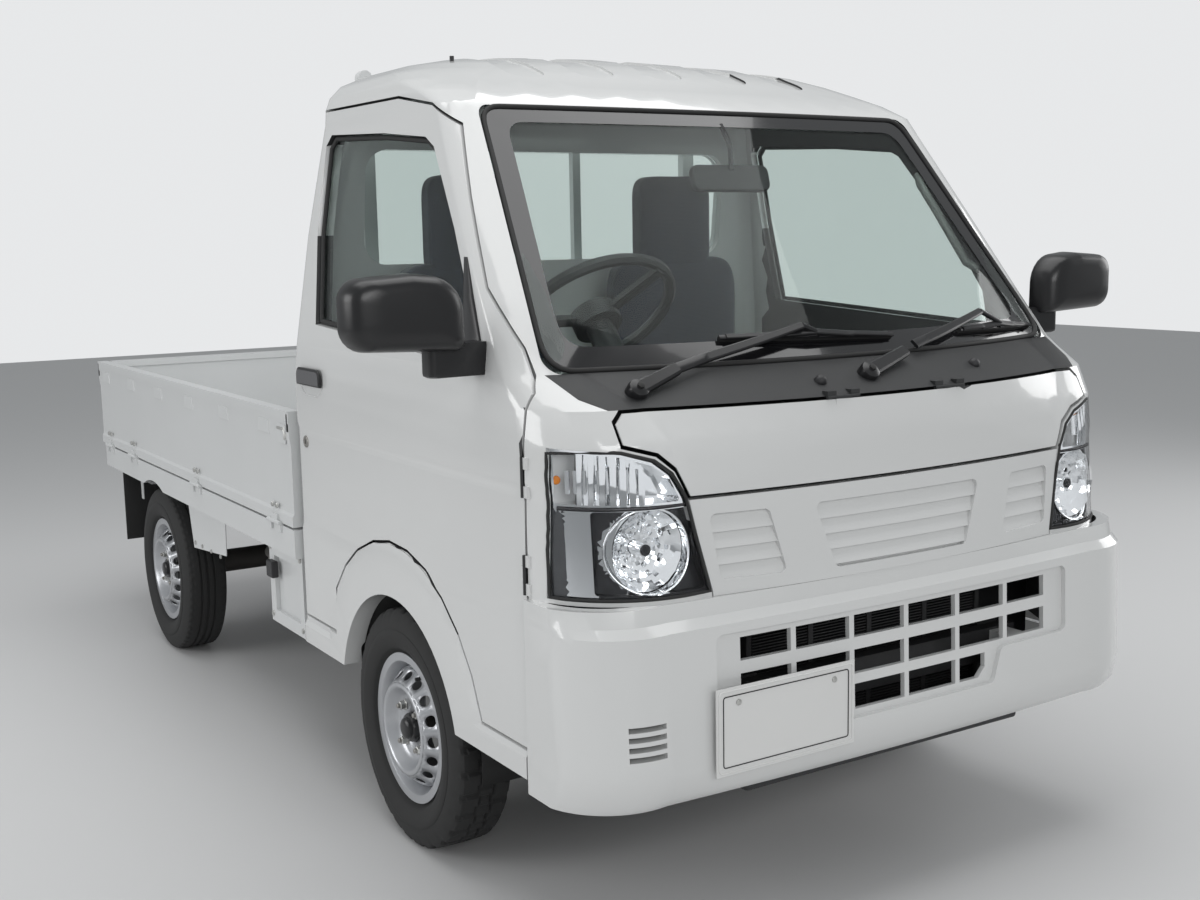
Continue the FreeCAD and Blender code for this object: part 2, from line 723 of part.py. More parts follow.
LENS, HOUSING_DEPTH = 5, 104
REFLECTOR_X, REFLECTOR_RISE, REFLECTOR_RADIUS = 562, 92, 76
DIVIDER_RISE, DIVIDER = 168, 10
INDICATOR_DEPTH = 50


def lamp_housing():
    """Left lamp behind its lens: a round reflector, an upright bright band at its outer side
    and, above a divider, the wide indicator with its flutes."""
    housing = layer(front_sections, LENS + gap, HOUSING_DEPTH).common(lamp_space)
    foot = size("z_bumper")
    rim = 9
    inner = lamp_points(-rim)
    low = inner[:2] + [
        (482, foot + DIVIDER_RISE), (658, foot + DIVIDER_RISE), (658, foot + 9 + rim)]
    bowl_space = front_prism(low, radius=6, depth=400)
    housing = housing.cut(bowl_space.common(layer(front_sections, 0, 20)))
    y = size("front") + 96
    centre = vector(REFLECTOR_X, y, foot + REFLECTOR_RISE)
    depth, reach = 46, REFLECTOR_RADIUS
    ball = (reach * reach + depth * depth) / (2 * depth)
    bowl = Part.makeSphere(ball, centre - vector(0, ball - depth, 0))
    front_half = Part.makeBox(400, 300, 400, vector(REFLECTOR_X - 200, y - 0.01, foot - 100))
    bowl = bowl.common(front_half)
    barrel = Part.makeCylinder(reach, 200, centre - vector(0, 200, 0), vector(0, 1, 0))
    housing = housing.cut(bowl.fuse(barrel))
    housing = housing.fuse(Part.makeCylinder(13, 44, centre + vector(0, depth - 42, 0), vector(0, 1, 0)))
    upper = [(505, foot + DIVIDER_RISE + DIVIDER + 2), (524, foot + 222), (556, foot + 246),
             (612, foot + 264), (700, foot + 274), (700, foot + DIVIDER_RISE + DIVIDER + 2)]
    indicator = front_prism(upper, radius=5, depth=500).common(layer(front_sections, 0, INDICATOR_DEPTH))
    for number in range(7):
        flute = Part.makeCylinder(6, 120, vector(578 + 15 * number, 0, foot + DIVIDER_RISE))
        spot = size("front") + 84 + 0.35 * (number * 15) + (number * 15) ** 2 / 260
        indicator = indicator.cut(flute.translated(vector(0, spot, 0)))
    return housing.cut(indicator)


lens_shape = layer(front_sections, 0, LENS).common(lamp_space)
housing_shape = lamp_housing()
housing_shape = max(housing_shape.Solids, key=lambda solid: solid.Volume)
for sign, side_name in ((1, "left"), (-1, "right")):
    for kind, made in (("headlamp_lens", lens_shape), ("headlamp", housing_shape)):
        shape = made if sign > 0 else mirror_x(made)
        keep(f"{kind}_{side_name}", feature(f"{kind.title().replace('_', '')}{side_name.title()}", shape))

# Bumper sections. Columns: level, rise, setback from the bumper face, bow of the nose.
BUMPER = (
    ("z_sill", -26, 30, 14),
    ("z_sill", -6, 12, 14),
    ("z_sill", 42, 0, 14),
    ("z_bumper", -46, 8, 16),
    ("z_bumper", -30, 22, 20),
    ("z_bumper", 0, 24, 26),
)
BUMPER_BOW_HALF, BUMPER_CORNER = 560, 112


def bumper_wires(inset):
    wires = []
    end = size("door_front") - size("shut_gap") / 2 - 2
    far, near = math.cos(math.pi / 4), 1 - math.cos(math.pi / 4)
    half, bow_half = size("side") - inset, BUMPER_BOW_HALF
    for level, rise, setback, bow in BUMPER:
        z = size(level) + rise
        nose = size("front") + setback + inset
        shoulder = nose + bow
        mid_x, mid_y = bow_half + (half - bow_half) * far, shoulder + BUMPER_CORNER * near
        wires.append(face([
            vector(-bow_half, shoulder, z), ("by", vector(0, nose, z)), vector(bow_half, shoulder, z),
            ("by", vector(mid_x, mid_y, z)), vector(half, shoulder + BUMPER_CORNER, z), vector(half, end, z),
            vector(-half, end, z), vector(-half, shoulder + BUMPER_CORNER, z), ("by", vector(-mid_x, mid_y, z)),
        ]).OuterWire)
    return wires


bumper_solid = Part.makeLoft(bumper_wires(0), True, True)
hollow = Part.makeLoft(bumper_wires(size("panel")), True, True)
hollow_deep = hollow.fuse(hollow.translated(vector(0, 40, 0)))
bumper_shape = bumper_solid.cut(hollow_deep)

# Lower grille. Outline of its recess on the left side, (x, height below the bumper's top),
# then its rows (top, foot, number of openings) and the bars between openings.
GRILLE_EDGE = ((466, -64), (466, -206), (262, -206), (238, -278))
GRILLE_ROWS = ((-78, -122, 6), (-146, -194, 6), (-214, -264, 4))
COLUMN_PITCH, BAR_HALF, GRILLE_DEPTH = 142, 6, 11
GRILLE_END, GRILLE_LOW_END, CORNER_CUT = 406, 222, 20
# Vent slots in the right corner, above the sill
VENT_SLOTS = (137, 119, 101, 83)


def grille_tools():
    """Recess, openings and the groove along each cross bar."""
    top = size("z_bumper")
    half = [(x, top + rise) for x, rise in GRILLE_EDGE]
    inner_face = Part.makeLoft(bumper_wires(GRILLE_DEPTH), True, True)
    tools = [front_prism(half + [(-x, z) for x, z in reversed(half)], radius=16, depth=200).cut(inner_face)]
    for high, low, count in GRILLE_ROWS:
        end = GRILLE_END if count == 6 else GRILLE_LOW_END
        for number in range(count):
            left = (number - count / 2) * COLUMN_PITCH + BAR_HALF
            right = min(left + COLUMN_PITCH - 2 * BAR_HALF, end)
            left = max(left, -end)
            corners = [(left, top + high), (right, top + high), (right, top + low), (left, top + low)]
            if count == 4 and number == 0:
                corners[3:] = [(left + CORNER_CUT, top + low), (left, top + low + CORNER_CUT)]
            if count == 4 and number == 3:
                corners[2:3] = [(right, top + low + CORNER_CUT), (right - CORNER_CUT, top + low)]
            tools.append(front_prism(corners, depth=200))
    for rise in VENT_SLOTS:
        z = size("z_sill") + rise
        tools.append(front_prism([(-650, z - 5), (-578, z - 5), (-578, z + 5), (-650, z + 5)], depth=260))
    return tools


bumper_shape = bumper_shape.cut(grille_tools())
for sign in (-1, 1):
    boss = Part.makeBox(50, 100, size("rail_depth") - 20, vector(
        sign * size("rail_centre") - 25, size("front") + 80 - gap - 100, size("rail_bottom") + 10))
    bumper_shape = bumper_shape.fuse(boss.common(hollow_deep))
keep("front_bumper", feature("FrontBumper", bumper_shape))

PLATE_CENTRE = -317
plate = Part.makeBox(330, 3, 165, vector(PLATE_CENTRE - 165, size("front") - 3, size("z_sill") + 22))
for _ in range(3):
    plate.translate(vector(0, plate.distToShape(bumper_shape)[0] - gap, 0))
keep("number_plate", feature("NumberPlate", plate))

# ---------------------------------------------------------------- chassis

rails = []
for sign in (-1, 1):
    rails.append(box(f"Rail{sign + 2}", (f"{sign} * rail_centre - rail_width / 2", f"{sign} * rail_centre + rail_width / 2"),
                     ("front + 110", "tail - 60"), ("rail_bottom", "rail_top")))
keep("chassis_rails", fuse("ChassisRails", rails))
CROSSMEMBERS = ("front_axle - 330", "cab_rear - 30", "rear_axle - 460", "rear_axle + 330", "tail - 120")
between_rails = "rail_centre - rail_width / 2 - seat_gap"
members = []
for number, y in enumerate(CROSSMEMBERS):
    members.append(box(f"Crossmember{number}", (f"-({between_rails})", between_rails), (y, f"{y} + 56"),
                       ("rail_bottom + 10", "rail_top - 10")))
keep("crossmembers", fuse("Crossmembers", members))
keep("bumper_beam", box("BumperBeam", ("-380", "380"), ("front + 80", "front + 110 - seat_gap"),
                        ("rail_bottom + 5", "rail_top - 5")))

deck_parts = [
    box("FootwellFloor", ("-side + wall + seat_gap", "side - wall - seat_gap"), ("door_front - 50", "front_axle - 302"),
        ("footwell - floor_plate", "footwell")),
    box("DeckRiser", ("-side + wall + seat_gap", "side - wall - seat_gap"), ("front_axle - 327", "front_axle - 302"),
        ("footwell - floor_plate", "deck_height")),
    box("SeatDeck", ("-side + wall + seat_gap", "side - wall - seat_gap"), ("front_axle - 327", "cab_rear - wall - seat_gap"),
        ("deck_height - floor_plate", "deck_height")),
    box("Firewall", ("-640", "640"), ("door_front - 50", "door_front - 25 - seat_gap"),
        ("footwell - floor_plate", "z_lid")),
]
cabin = feature("CabinSpace", inner_solid(size("wall") + size("seat_gap"), ceiling - 5, size("rail_top") - 200))
keep("cab_floor", common("CabFloor", [fuse("FloorPlates", deck_parts), cabin]))

# ---------------------------------------------------------------- wheels

def body_plane(body, role):
    return next(f for f in body.Origin.OriginFeatures if f.Role == role)


def profile_sketch(body, role, points):
    """A closed outline on an origin plane, each corner placed by two expressions."""
    sketch = body.newObject("Sketcher::SketchObject", body.Name + "_Profile")
    sketch.AttachmentSupport = [(body_plane(body, role), "")]
    sketch.MapMode = "FlatFace"
    doc.recompute()
    count = len(points)
    for number in range(count):
        turn = 2 * math.pi * number / count
        following = 2 * math.pi * (number + 1) / count
        sketch.addGeometry(Part.LineSegment(
            vector(100 * math.cos(turn), 100 * math.sin(turn), 0),
            vector(100 * math.cos(following), 100 * math.sin(following), 0)), False)
    for number in range(count):
        sketch.addConstraint(Sketcher.Constraint("Coincident", number, 2, (number + 1) % count, 1))
    for number, (across, up) in enumerate(points):
        for kind, expression in (("DistanceX", across), ("DistanceY", up)):
            index = sketch.addConstraint(Sketcher.Constraint(kind, -1, 1, number, 1, 10.0))
            sketch.setExpression(f"Constraints[{index}]", full(expression))
    return sketch


def revolved(name, role, axis, points):
    body = doc.addObject("PartDesign::Body", name)
    sketch = profile_sketch(body, role, points)
    turned = body.newObject("PartDesign::Revolution", name + "_Revolution")
    turned.Profile = sketch
    turned.ReferenceAxis = (sketch, [axis])
    turned.Angle = 360
    doc.recompute()
    return body


# Half sections about the X axis, outboard is +X. Corners are (across, radius).
BARREL = (
    ("bead_width / 2 + sheet", "bead_radius + flange_height"), ("bead_width / 2", "bead_radius + flange_height"),
    ("bead_width / 2", "bead_radius"), ("bead_width / 2 - 36", "bead_radius - 20"),
    ("-bead_width / 2 + 44", "bead_radius - 20"), ("-bead_width / 2", "bead_radius"),
    ("-bead_width / 2", "bead_radius + flange_height"), ("-bead_width / 2 - sheet", "bead_radius + flange_height"),
    ("-bead_width / 2 - sheet", "bead_radius - sheet"), ("-bead_width / 2 + 42", "bead_radius - 20 - sheet"),
    ("bead_width / 2 - 38", "bead_radius - 20 - sheet"), ("bead_width / 2 + sheet", "bead_radius - sheet"),
)
DISC = (
    ("hub_offset - 3", "bead_radius - 23"), ("hub_offset + 4", "bead_radius - 23"),
    ("hub_offset + 30", "vent_ring_radius - 14"), ("hub_offset + 33", "vent_ring_radius - 19"),
    ("hub_offset + 28", "vent_ring_radius - 27"), ("hub_offset", "vent_ring_radius - 43"),
    ("hub_offset", "33"), ("hub_offset - sheet", "33"),
    ("hub_offset - sheet", "vent_ring_radius - 40"), ("hub_offset + 25", "vent_ring_radius - 20"),
    ("hub_offset + 24", "vent_ring_radius - 14"),
)
HUB = (
    ("hub_offset + 24", "spindle_radius + running_gap"), ("hub_offset + 24", "24"),
    ("hub_offset + 2", "31"), ("hub_offset + 2", "37"),
    ("hub_offset - sheet - 1", "37"), ("hub_offset - 10", "95"), ("hub_offset - 46", "98"),
    ("hub_offset - 46", "spindle_radius + running_gap"),
)
TYRE = (
    ("bead_width / 2 - seat_gap", "bead_radius + seat_gap"),
    ("bead_width / 2 - seat_gap", "bead_radius + flange_height + 2"),
    ("tyre_width / 2", "bead_radius + 56"),
    ("tyre_width / 2 - 11", "tyre_radius - 12"), ("tyre_width / 2 - 24", "tyre_radius"),
    ("-tyre_width / 2 + 24", "tyre_radius"), ("-tyre_width / 2 + 11", "tyre_radius - 12"),
    ("-tyre_width / 2", "bead_radius + 56"),
    ("-bead_width / 2 + seat_gap", "bead_radius + flange_height + 2"),
    ("-bead_width / 2 + seat_gap", "bead_radius + seat_gap"),
)

barrel = revolved("RimBarrel", "XY_Plane", "H_Axis", BARREL)
hub = revolved("Hub", "XY_Plane", "H_Axis", HUB)
disc = revolved("RimDisc", "XY_Plane", "H_Axis", DISC)
vent_sketch = disc.newObject("Sketcher::SketchObject", "VentCircle")
vent_sketch.AttachmentSupport = [(body_plane(disc, "YZ_Plane"), "")]
vent_sketch.MapMode = "FlatFace"
vent_sketch.addGeometry(Part.Circle(vector(0, 100, 0), vector(0, 0, 1), 10), False)
for kind, arguments, expression in (
        ("DistanceX", (-1, 1, 0, 3, 0.0), "0"), ("DistanceY", (-1, 1, 0, 3, 100.0), "vent_ring_radius"),
        ("Radius", (0, 10.0), "vent_radius")):
    index = vent_sketch.addConstraint(Sketcher.Constraint(kind, *arguments))
    vent_sketch.setExpression(f"Constraints[{index}]", full(expression))
vent = disc.newObject("PartDesign::Pocket", "Vent")
vent.Profile = vent_sketch
vent.Type = 1
vent.Midplane = True
doc.recompute()
vents = disc.newObject("PartDesign::PolarPattern", "Vents")
vents.Originals = [vent]
vents.Axis = (body_plane(disc, "X_Axis"), [""])
vents.Angle = 360
bind(vents, "Occurrences", "vent_count")
disc.Tip = vents
doc.recompute()


def place(made, x, y, z):
    for axis, expression in zip("xyz", (x, y, z)):
        bind(made, f"Placement.Base.{axis}", expression)
    return made


for end, axle in (("front", "front_axle"), ("rear", "rear_axle")):
    rim = fuse(f"Rim{end.title()}Left", [barrel, disc, hub])
    tyre = revolved(f"Tyre{end.title()}Left", "XY_Plane", "H_Axis", TYRE)
    for made in (rim, tyre):
        place(made, "wheel_x", axle, "tyre_radius")
    for kind, made in (("rim", rim), ("tyre", tyre)):
        keep(f"{kind}_{end}_left", made)
        keep(f"{kind}_{end}_right", mirrored(f"{kind.title()}{end.title()}Right", made))

spare_rim = fuse("SpareRim", [barrel, disc])
spare_tyre = revolved("SpareTyre", "XY_Plane", "H_Axis", TYRE)
for made in (spare_rim, spare_tyre):
    made.Placement = FreeCAD.Placement(vector(0, 0, 0), FreeCAD.Rotation(vector(0, 1, 0), -90))
    place(made, "0", "tail - 288", "rail_bottom + 10 - tyre_width / 2 - seat_gap")
keep("spare_rim", spare_rim)
keep("spare_tyre", spare_tyre)

# ---------------------------------------------------------------- axles and knuckles

KINGPIN_LEAN = 60
knuckle_parts = [
    rod("Spindle", "x", "spindle_radius", "kingpin_x - 12", "wheel_x + hub_offset + 18", ("front_axle", "tyre_radius")),
    box("Upright", ("kingpin_x - 30", "kingpin_x + 12"), ("front_axle - 36", "front_axle + 36"),
        ("tyre_radius - 80", "tyre_radius + 78")),
    box("SteeringArm", ("kingpin_x - 30", "kingpin_x - 6"), ("front_axle - 128", "front_axle"),
        ("tyre_radius - 30", "tyre_radius - 8")),
]
strut = doc.addObject("Part::Cylinder", "StrutTube")
bind(strut, "Radius", "21")
bind(strut, "Height", "deck_height - floor_plate - 74 - tyre_radius - 20")
strut.Placement = FreeCAD.Placement(
    vector(0, 0, 0), FreeCAD.Rotation(vector(0, 1, 0), -math.degrees(math.atan(KINGPIN_LEAN / 460))))
place(strut, "kingpin_x - 20", "front_axle", "tyre_radius + 20")
ball = doc.addObject("Part::Sphere", "BallJoint")
bind(ball, "Radius", "14")
place(ball, "kingpin_x - 6", "front_axle", "tyre_radius - 82")
knuckle = keep("knuckle_left", fuse("KnuckleLeft", knuckle_parts + [strut, ball]))
keep("knuckle_right", mirrored("KnuckleRight", knuckle))

arm_parts = []
for sign, tag in ((1, "L"), (-1, "R")):
    x = f"{sign} * "
    inner, outer = ("rail_centre - rail_width / 2 - 40", "kingpin_x")
    low, high = (inner, outer) if sign > 0 else (f"-({outer})", f"-({inner})")
    arm_parts.append(box(f"LowerArm{tag}", (low, high), ("front_axle - 26", "front_axle + 26"),
                         ("tyre_radius - 126", "tyre_radius - 96 - seat_gap")))
    arm_parts.append(box(f"ArmHanger{tag}", ("%d * rail_centre - 20" % sign, "%d * rail_centre + 20" % sign),
                         ("front_axle - 40", "front_axle + 40"), ("tyre_radius - 110", "rail_bottom - seat_gap")))
arm_parts.append(rod("Rack", "x", "24", "-rail_centre - 60", "rail_centre + 60", ("front_axle - 150", "tyre_radius + 6")))
for sign in (-1, 1):
    arm_parts.append(box(f"RackBracket{sign + 2}", (f"{sign} * rail_centre - 20", f"{sign} * rail_centre + 20"),
                         ("front_axle - 165", "front_axle - 20"), ("tyre_radius - 6", "tyre_radius + 18")))
keep("front_suspension", fuse("FrontSuspension", arm_parts))

springs = []
for sign in (-1, 1):
    springs.append(rod(f"StrutSpring{sign + 2}", "z", "46", "deck_height - floor_plate - 70",
                       "deck_height - floor_plate - seat_gap", (f"{sign} * (kingpin_x - 62)", "front_axle")))
keep("strut_springs", fuse("StrutSprings", springs))

axle_parts = [
    rod("AxleTube", "x", "axle_radius", "-wheel_x + 56", "wheel_x - 56", ("rear_axle", "tyre_radius")),
    rod("AxleSpindle", "x", "spindle_radius", "-wheel_x - hub_offset - 18", "wheel_x + hub_offset + 18", ("rear_axle", "tyre_radius")),
    rod("Differential", "x", "92", "-70", "70", ("rear_axle", "tyre_radius")),
    rod("PinionNose", "y", "42", "rear_axle - 170", "rear_axle", ("0", "tyre_radius")),
]
keep("rear_axle", fuse("RearAxle", axle_parts))


def leaf_shape(sign):
    """A leaf pack as an arc under the rail, on the axle, with its two hangers."""
    axle_y, axle_z, rail_z = size("rear_axle"), size("tyre_radius"), size("rail_bottom") - size("seat_gap")
    base = axle_z + size("axle_radius") + size("seat_gap")
    half, rise, thick, width = 480, rail_z - base - 30, 26, 60
    x = sign * size("rail_centre") - width / 2
    low = [vector(x, axle_y - half, base + rise), vector(x, axle_y, base), vector(x, axle_y + half, base + rise)]
    high = [point + vector(0, 0, thick) for point in low]
    leaf = face([low[0], ("by", low[1]), low[2], high[2], ("by", high[1]), high[0]]).extrude(vector(width, 0, 0))
    for y in (axle_y - half, axle_y + half):
        leaf = leaf.fuse(Part.makeBox(width, 34, rail_z - base - rise, vector(x, y - 17, base + rise)))
    return leaf


keep("leaf_springs", feature("LeafSprings", Part.makeCompound([leaf_shape(1), leaf_shape(-1)])))

# ---------------------------------------------------------------- driveline and tanks

block = box("EngineBlock", ("-215", "215"), ("front_axle + 90", "front_axle + 500"),
            ("rail_bottom - 130", "deck_height - floor_plate - 30"))
mount = box("EngineMounts", (f"-({between_rails})", between_rails), ("front_axle + 260", "front_axle + 330"),
            ("rail_bottom + 20", "rail_bottom + 55"))
keep("engine", fuse("Engine", [block, mount]))
shaft = rod("Propshaft", "y", "34", "front_axle + 500 + seat_gap", "rear_axle - 170 - seat_gap", ("0", "tyre_radius"))
gearbox = rod("Gearbox", "y", "88", "front_axle + 500 + seat_gap", "front_axle + 760", ("0", "tyre_radius + 40"))
keep("propshaft", fuse("DriveShaft", [shaft, gearbox]))
tank = box("FuelTank", ("rail_centre + rail_width / 2 + seat_gap", "side - 70"), ("cab_rear + 190", "cab_rear + 700"),
           ("rail_bottom - 115", "rail_top - 10"))
keep("fuel_tank", tank)
exhaust_parts = [
    rod("Muffler", "y", "72", "cab_rear + 330", "cab_rear + 760", ("-(rail_centre + 150)", "rail_bottom - 40")),
    rod("ExhaustPipe", "y", "20", "front_axle + 320", "cab_rear + 340", ("-(rail_centre + 150)", "rail_bottom - 60")),
    box("MufflerHanger", ("-(rail_centre + 150)", "-(rail_centre + rail_width / 2 + seat_gap)"),
        ("cab_rear + 500", "cab_rear + 530"), ("rail_bottom", "rail_bottom + 30")),
    rod("TailPipe", "y", "20", "cab_rear + 750", "rear_axle - 380", ("-(rail_centre + 150)", "rail_bottom - 60")),
]
keep("exhaust", fuse("Exhaust", exhaust_parts))

# ---------------------------------------------------------------- bed

bed_parts = [
    box("BedFloor", ("-bed_half", "bed_half"), ("bed_front + 18 + seat_gap", "bed_back"), ("bed_under", "bed_height")),
]
for sign, tag in ((1, "L"), (-1, "R")):
    low, high = ("bed_half - 40", "side") if sign > 0 else ("-side", "-bed_half + 40")
    bed_parts.append(box(f"SideRail{tag}", (low, high), ("bed_front", "bed_back"),
                         ("bed_under - 80", "bed_under - shut_gap")))
    low, high = ("bed_half - 40", "bed_half") if sign > 0 else ("-bed_half", "-bed_half + 40")
    bed_parts.append(box(f"SideWeb{tag}", (low, high), ("bed_front", "bed_back"), ("bed_under - 10", "bed_under")))
    low, high = ("side - 62", "side - 22") if sign > 0 else ("-side + 22", "-side + 62")
    bed_parts.append(box(f"SideCover{tag}", (low, high), ("bed_front + 16", "bed_front + 262"),
                         ("bed_under - 296", "bed_under - 70")))
arch_tools = []
for sign in (-1, 1):
    low, high = ("side - 34", "side") if sign > 0 else ("-side", "-side + 34")
    arch_tools.append(box(f"CoverRecess{sign + 2}", (low, high), ("bed_front + 46", "bed_front + 226"),
                          ("bed_under - 262", "bed_under - 112")))

    arch_tools.append(rod(f"RearArch{sign + 2}", "x", "arch_radius - 2", f"{sign} * side - 110", f"{sign} * side + 110",
                          ("rear_axle", "tyre_radius")))
bed_frame = cut("BedFrame", fuse("BedWeldment", bed_parts), arch_tools)

joists = []
for number, y in enumerate(("bed_front + 60", "bed_front + 480", "rear_axle - 360", "rear_axle + 310", "tail - 156")):
    joists.append(box(f"Joist{number}", ("-bed_half + 40 + seat_gap", "bed_half - 40 - seat_gap"), (y, f"{y} + 50"),
                      ("rail_top + seat_gap", "bed_under - seat_gap")))
keep("bed_joists", fuse("BedJoists", joists))

keep("headboard", box("Headboard", ("-bed_half + 4", "bed_half - 4"), ("bed_front", "bed_front + 18"),
                      ("bed_under + seat_gap", "bed_top")))

GATE = (
    ("0", "0"), ("-gate_depth", "0"), ("-gate_depth", "26"), ("-gate_depth + 5", "34"),
    ("-gate_depth + 5", "gate_height - 88"), ("-gate_depth + 2", "gate_height - 70"),
    ("-gate_depth + 2", "gate_height - 34"), ("-gate_depth", "gate_height - 30"),
    ("-gate_depth", "gate_height"), ("4", "gate_height"), ("4", "gate_height - 22"), ("0", "gate_height - 26"),
)


def gate(name, role, points, run):
    """A drop side: its cross-section padded along its length."""
    body = doc.addObject("PartDesign::Body", name)
    sketch = profile_sketch(body, role, points)
    pad = body.newObject("PartDesign::Pad", name + "_Pad")
    pad.Profile = sketch
    bind(pad, "Length", run)
    pad.Reversed = True
    doc.recompute()
    return body


# Places of the gate hinges along the side, and across the tail
SIDE_HINGES = ("bed_front + 130", "bed_front + 815", "bed_front + 1535", "bed_front + 1847")
TAIL_HINGES = ("-560", "0", "560")


def hinge(name, axis, across, middle, sign):
    """One gate hinge on a bottom edge: the gate's barrel and leaf, and the bed's two.
    across is the axis' place sideways, sign points outboard."""
    half = "hinge_length / 2"
    moving, fixed = [], []
    for part, low, high in (("Gate", f"{middle} - {half} + seat_gap", f"{middle} + {half} - seat_gap"),
                            ("BedA", f"{middle} - {half} - 22", f"{middle} - {half}"),
                            ("BedB", f"{middle} + {half}", f"{middle} + {half} + 22")):
        side_centre = (across, "bed_under")
        barrel = rod(f"{name}{part}Barrel", axis, "hinge_radius", low, high, side_centre)
        reach = (f"({across}) - {sign} * (hinge_reach + 4)", across)
        if sign < 0:
            reach = (across, f"({across}) + hinge_reach + 4")
        upright = ("bed_under - 24", "bed_under") if part != "Gate" else ("bed_under", "bed_under + 20")
        spans = (reach, (low, high), upright) if axis == "y" else ((low, high), reach, upright)
        leaf = box(f"{name}{part}Leaf", *spans)
        (moving if part == "Gate" else fixed).extend([barrel, leaf])
    return moving, fixed


right_panel = gate("SideGate", "XZ_Plane", GATE, "tail - 6 - bed_front - shut_gap")
place(right_panel, "-side + gate_depth", "bed_front + shut_gap", "bed_under")
right_leaves, left_fixed, right_fixed, tail_leaves, tail_fixed = [], [], [], [], []
for number, y in enumerate(SIDE_HINGES):
    moving, fixed = hinge(f"SideHinge{number}", "y", "-side - hinge_reach", y, -1)
    right_leaves += moving
    right_fixed += fixed
for number, x in enumerate(TAIL_HINGES):
    moving, fixed = hinge(f"TailHinge{number}", "x", "gate_tail + hinge_reach", x, 1)
    tail_leaves += moving
    tail_fixed += fixed
side_gate = fuse("SideGateRight", [right_panel] + right_leaves)
keep("side_gate_right", side_gate)
keep("side_gate_left", mirrored("SideGateLeft", side_gate))
tail_points = [(f"-({x})", z) for x, z in GATE]
tail_panel = gate("TailPanel", "YZ_Plane", tail_points, "2 * bed_half - 2 * shut_gap")
place(tail_panel, "bed_half - shut_gap", "gate_tail - gate_depth", "bed_under")
keep("tailgate", fuse("TailGate", [tail_panel] + tail_leaves))

rear_sill = box("RearSill", ("-bed_half", "bed_half"), ("bed_back - 40", "gate_tail"), ("bed_under - 80", "bed_under - shut_gap"))
rear_web = box("RearWeb", ("-bed_half", "bed_half"), ("bed_back - 40", "bed_back"), ("bed_under - 10", "bed_under"))
side_hinges = fuse("FixedHingesRight", right_fixed)
keep("bed_floor", fuse("Bed", [bed_frame, rear_sill, rear_web, side_hinges,
                               mirrored("FixedHingesLeft", side_hinges)] + tail_fixed))

guard_parts = []
for sign in (-1, 1):
    post = f"{sign} * guard_post"
    guard_parts.append(box(f"GuardPost{sign + 2}", (f"{post} - 18", f"{post} + 18"), ("bed_front", "bed_front + 26"),
                           ("bed_top + seat_gap", "z_roof - 25")))
    guard_parts.append(rod(f"GuardTop{sign + 2}", "y", "18", "bed_front", "bed_front + 26", (post, "z_roof - 25")))
    guard_parts.append(box(f"GuardBar{sign + 2}", (f"{sign} * 118 - 12", f"{sign} * 118 + 12"),
                           ("bed_front + 3", "bed_front + 23"), ("z_cowl + 150", "z_screen - 20")))
for number, z in enumerate(("z_cowl + 130", "z_screen - 40")):
    guard_parts.append(box(f"GuardCross{number}", ("-guard_post", "guard_post"), ("bed_front", "bed_front + 26"),
                           (z, f"{z} + 30")))
keep("guard_frame", fuse("GuardFrame", guard_parts))

# ---------------------------------------------------------------- inside the cab

for sign, side_name in ((1, "left"), (-1, "right")):
    x = f"{sign} * seat_centre"
    tag = side_name.title()
    rear = "cab_rear - wall - rear_lean"
    parts = [
        box(f"Cushion{tag}", (f"{x} - seat_width / 2", f"{x} + seat_width / 2"), (f"{rear} - 500", f"{rear} - 60"),
            ("deck_height + seat_gap", "deck_height + 150")),
        box(f"Backrest{tag}", (f"{x} - seat_width / 2", f"{x} + seat_width / 2"), (f"{rear} - 115", f"{rear} - 8"),
            ("deck_height + 100", "deck_height + 640")),
        box(f"HeadRest{tag}", (f"{x} - 125", f"{x} + 125"), (f"{rear} - 100", f"{rear} - 20"),
            ("deck_height + 640", "deck_height + 850")),
    ]
    keep(f"seat_{side_name}", fuse(f"Seat{tag}", parts))


def dash_shape():
    """The dashboard's profile run across the cab."""
    front, floor, top = size("door_front"), size("footwell"), size("z_cowl")
    x = -size("side") + 92
    outline = [
        vector(x, front - 25, floor + 250), vector(x, front - 25, top - 74), vector(x, front + 60, top - 4),
        vector(x, front + 215, top + 12), vector(x, front + 268, top - 22), vector(x, front + 255, top - 190),
        vector(x, front + 160, floor + 250),
    ]
    return prism(rounded(outline, 12), vector(1, 0, 0), -2 * x).common(cabin.Shape)


keep("dashboard", feature("Dashboard", dash_shape()))


def steering_wheel_shape():
    """Rim, hub, three spokes and the column down to the dashboard face."""
    section = [vector(176 + 13 * math.cos(a), 0, 13 * math.sin(a))
               for a in (math.radians(22.5 + 45 * number) for number in range(8))]
    rim = face(section).revolve(vector(0, 0, 0), vector(0, 0, 1), 360)
    hub_disc = Part.makeCylinder(52, 40, vector(0, 0, -34))
    spokes = [Part.makeBox(176, 26, 12, vector(0, -13, -18)) for _ in range(3)]
    whole = rim.fuse(hub_disc)
    for number, spoke in enumerate(spokes):
        spoke.rotate(vector(0, 0, 0), vector(0, 0, 1), 90 + 120 * number - 30)
        whole = whole.fuse(spoke)
    whole = whole.fuse(Part.makeCylinder(30, 150, vector(0, 0, -170)))
    whole.rotate(vector(0, 0, 0), vector(1, 0, 0), -42)
    whole.translate(vector(-350, size("door_front") + 356, size("z_cowl") + 82))
    trimmed = whole.cut(dash_shape()).cut(dash_shape().translated(vector(0, -size("seat_gap"), size("seat_gap"))))
    return max(trimmed.Solids, key=lambda solid: solid.Volume)


keep("steering_wheel", feature("SteeringWheel", steering_wheel_shape()))

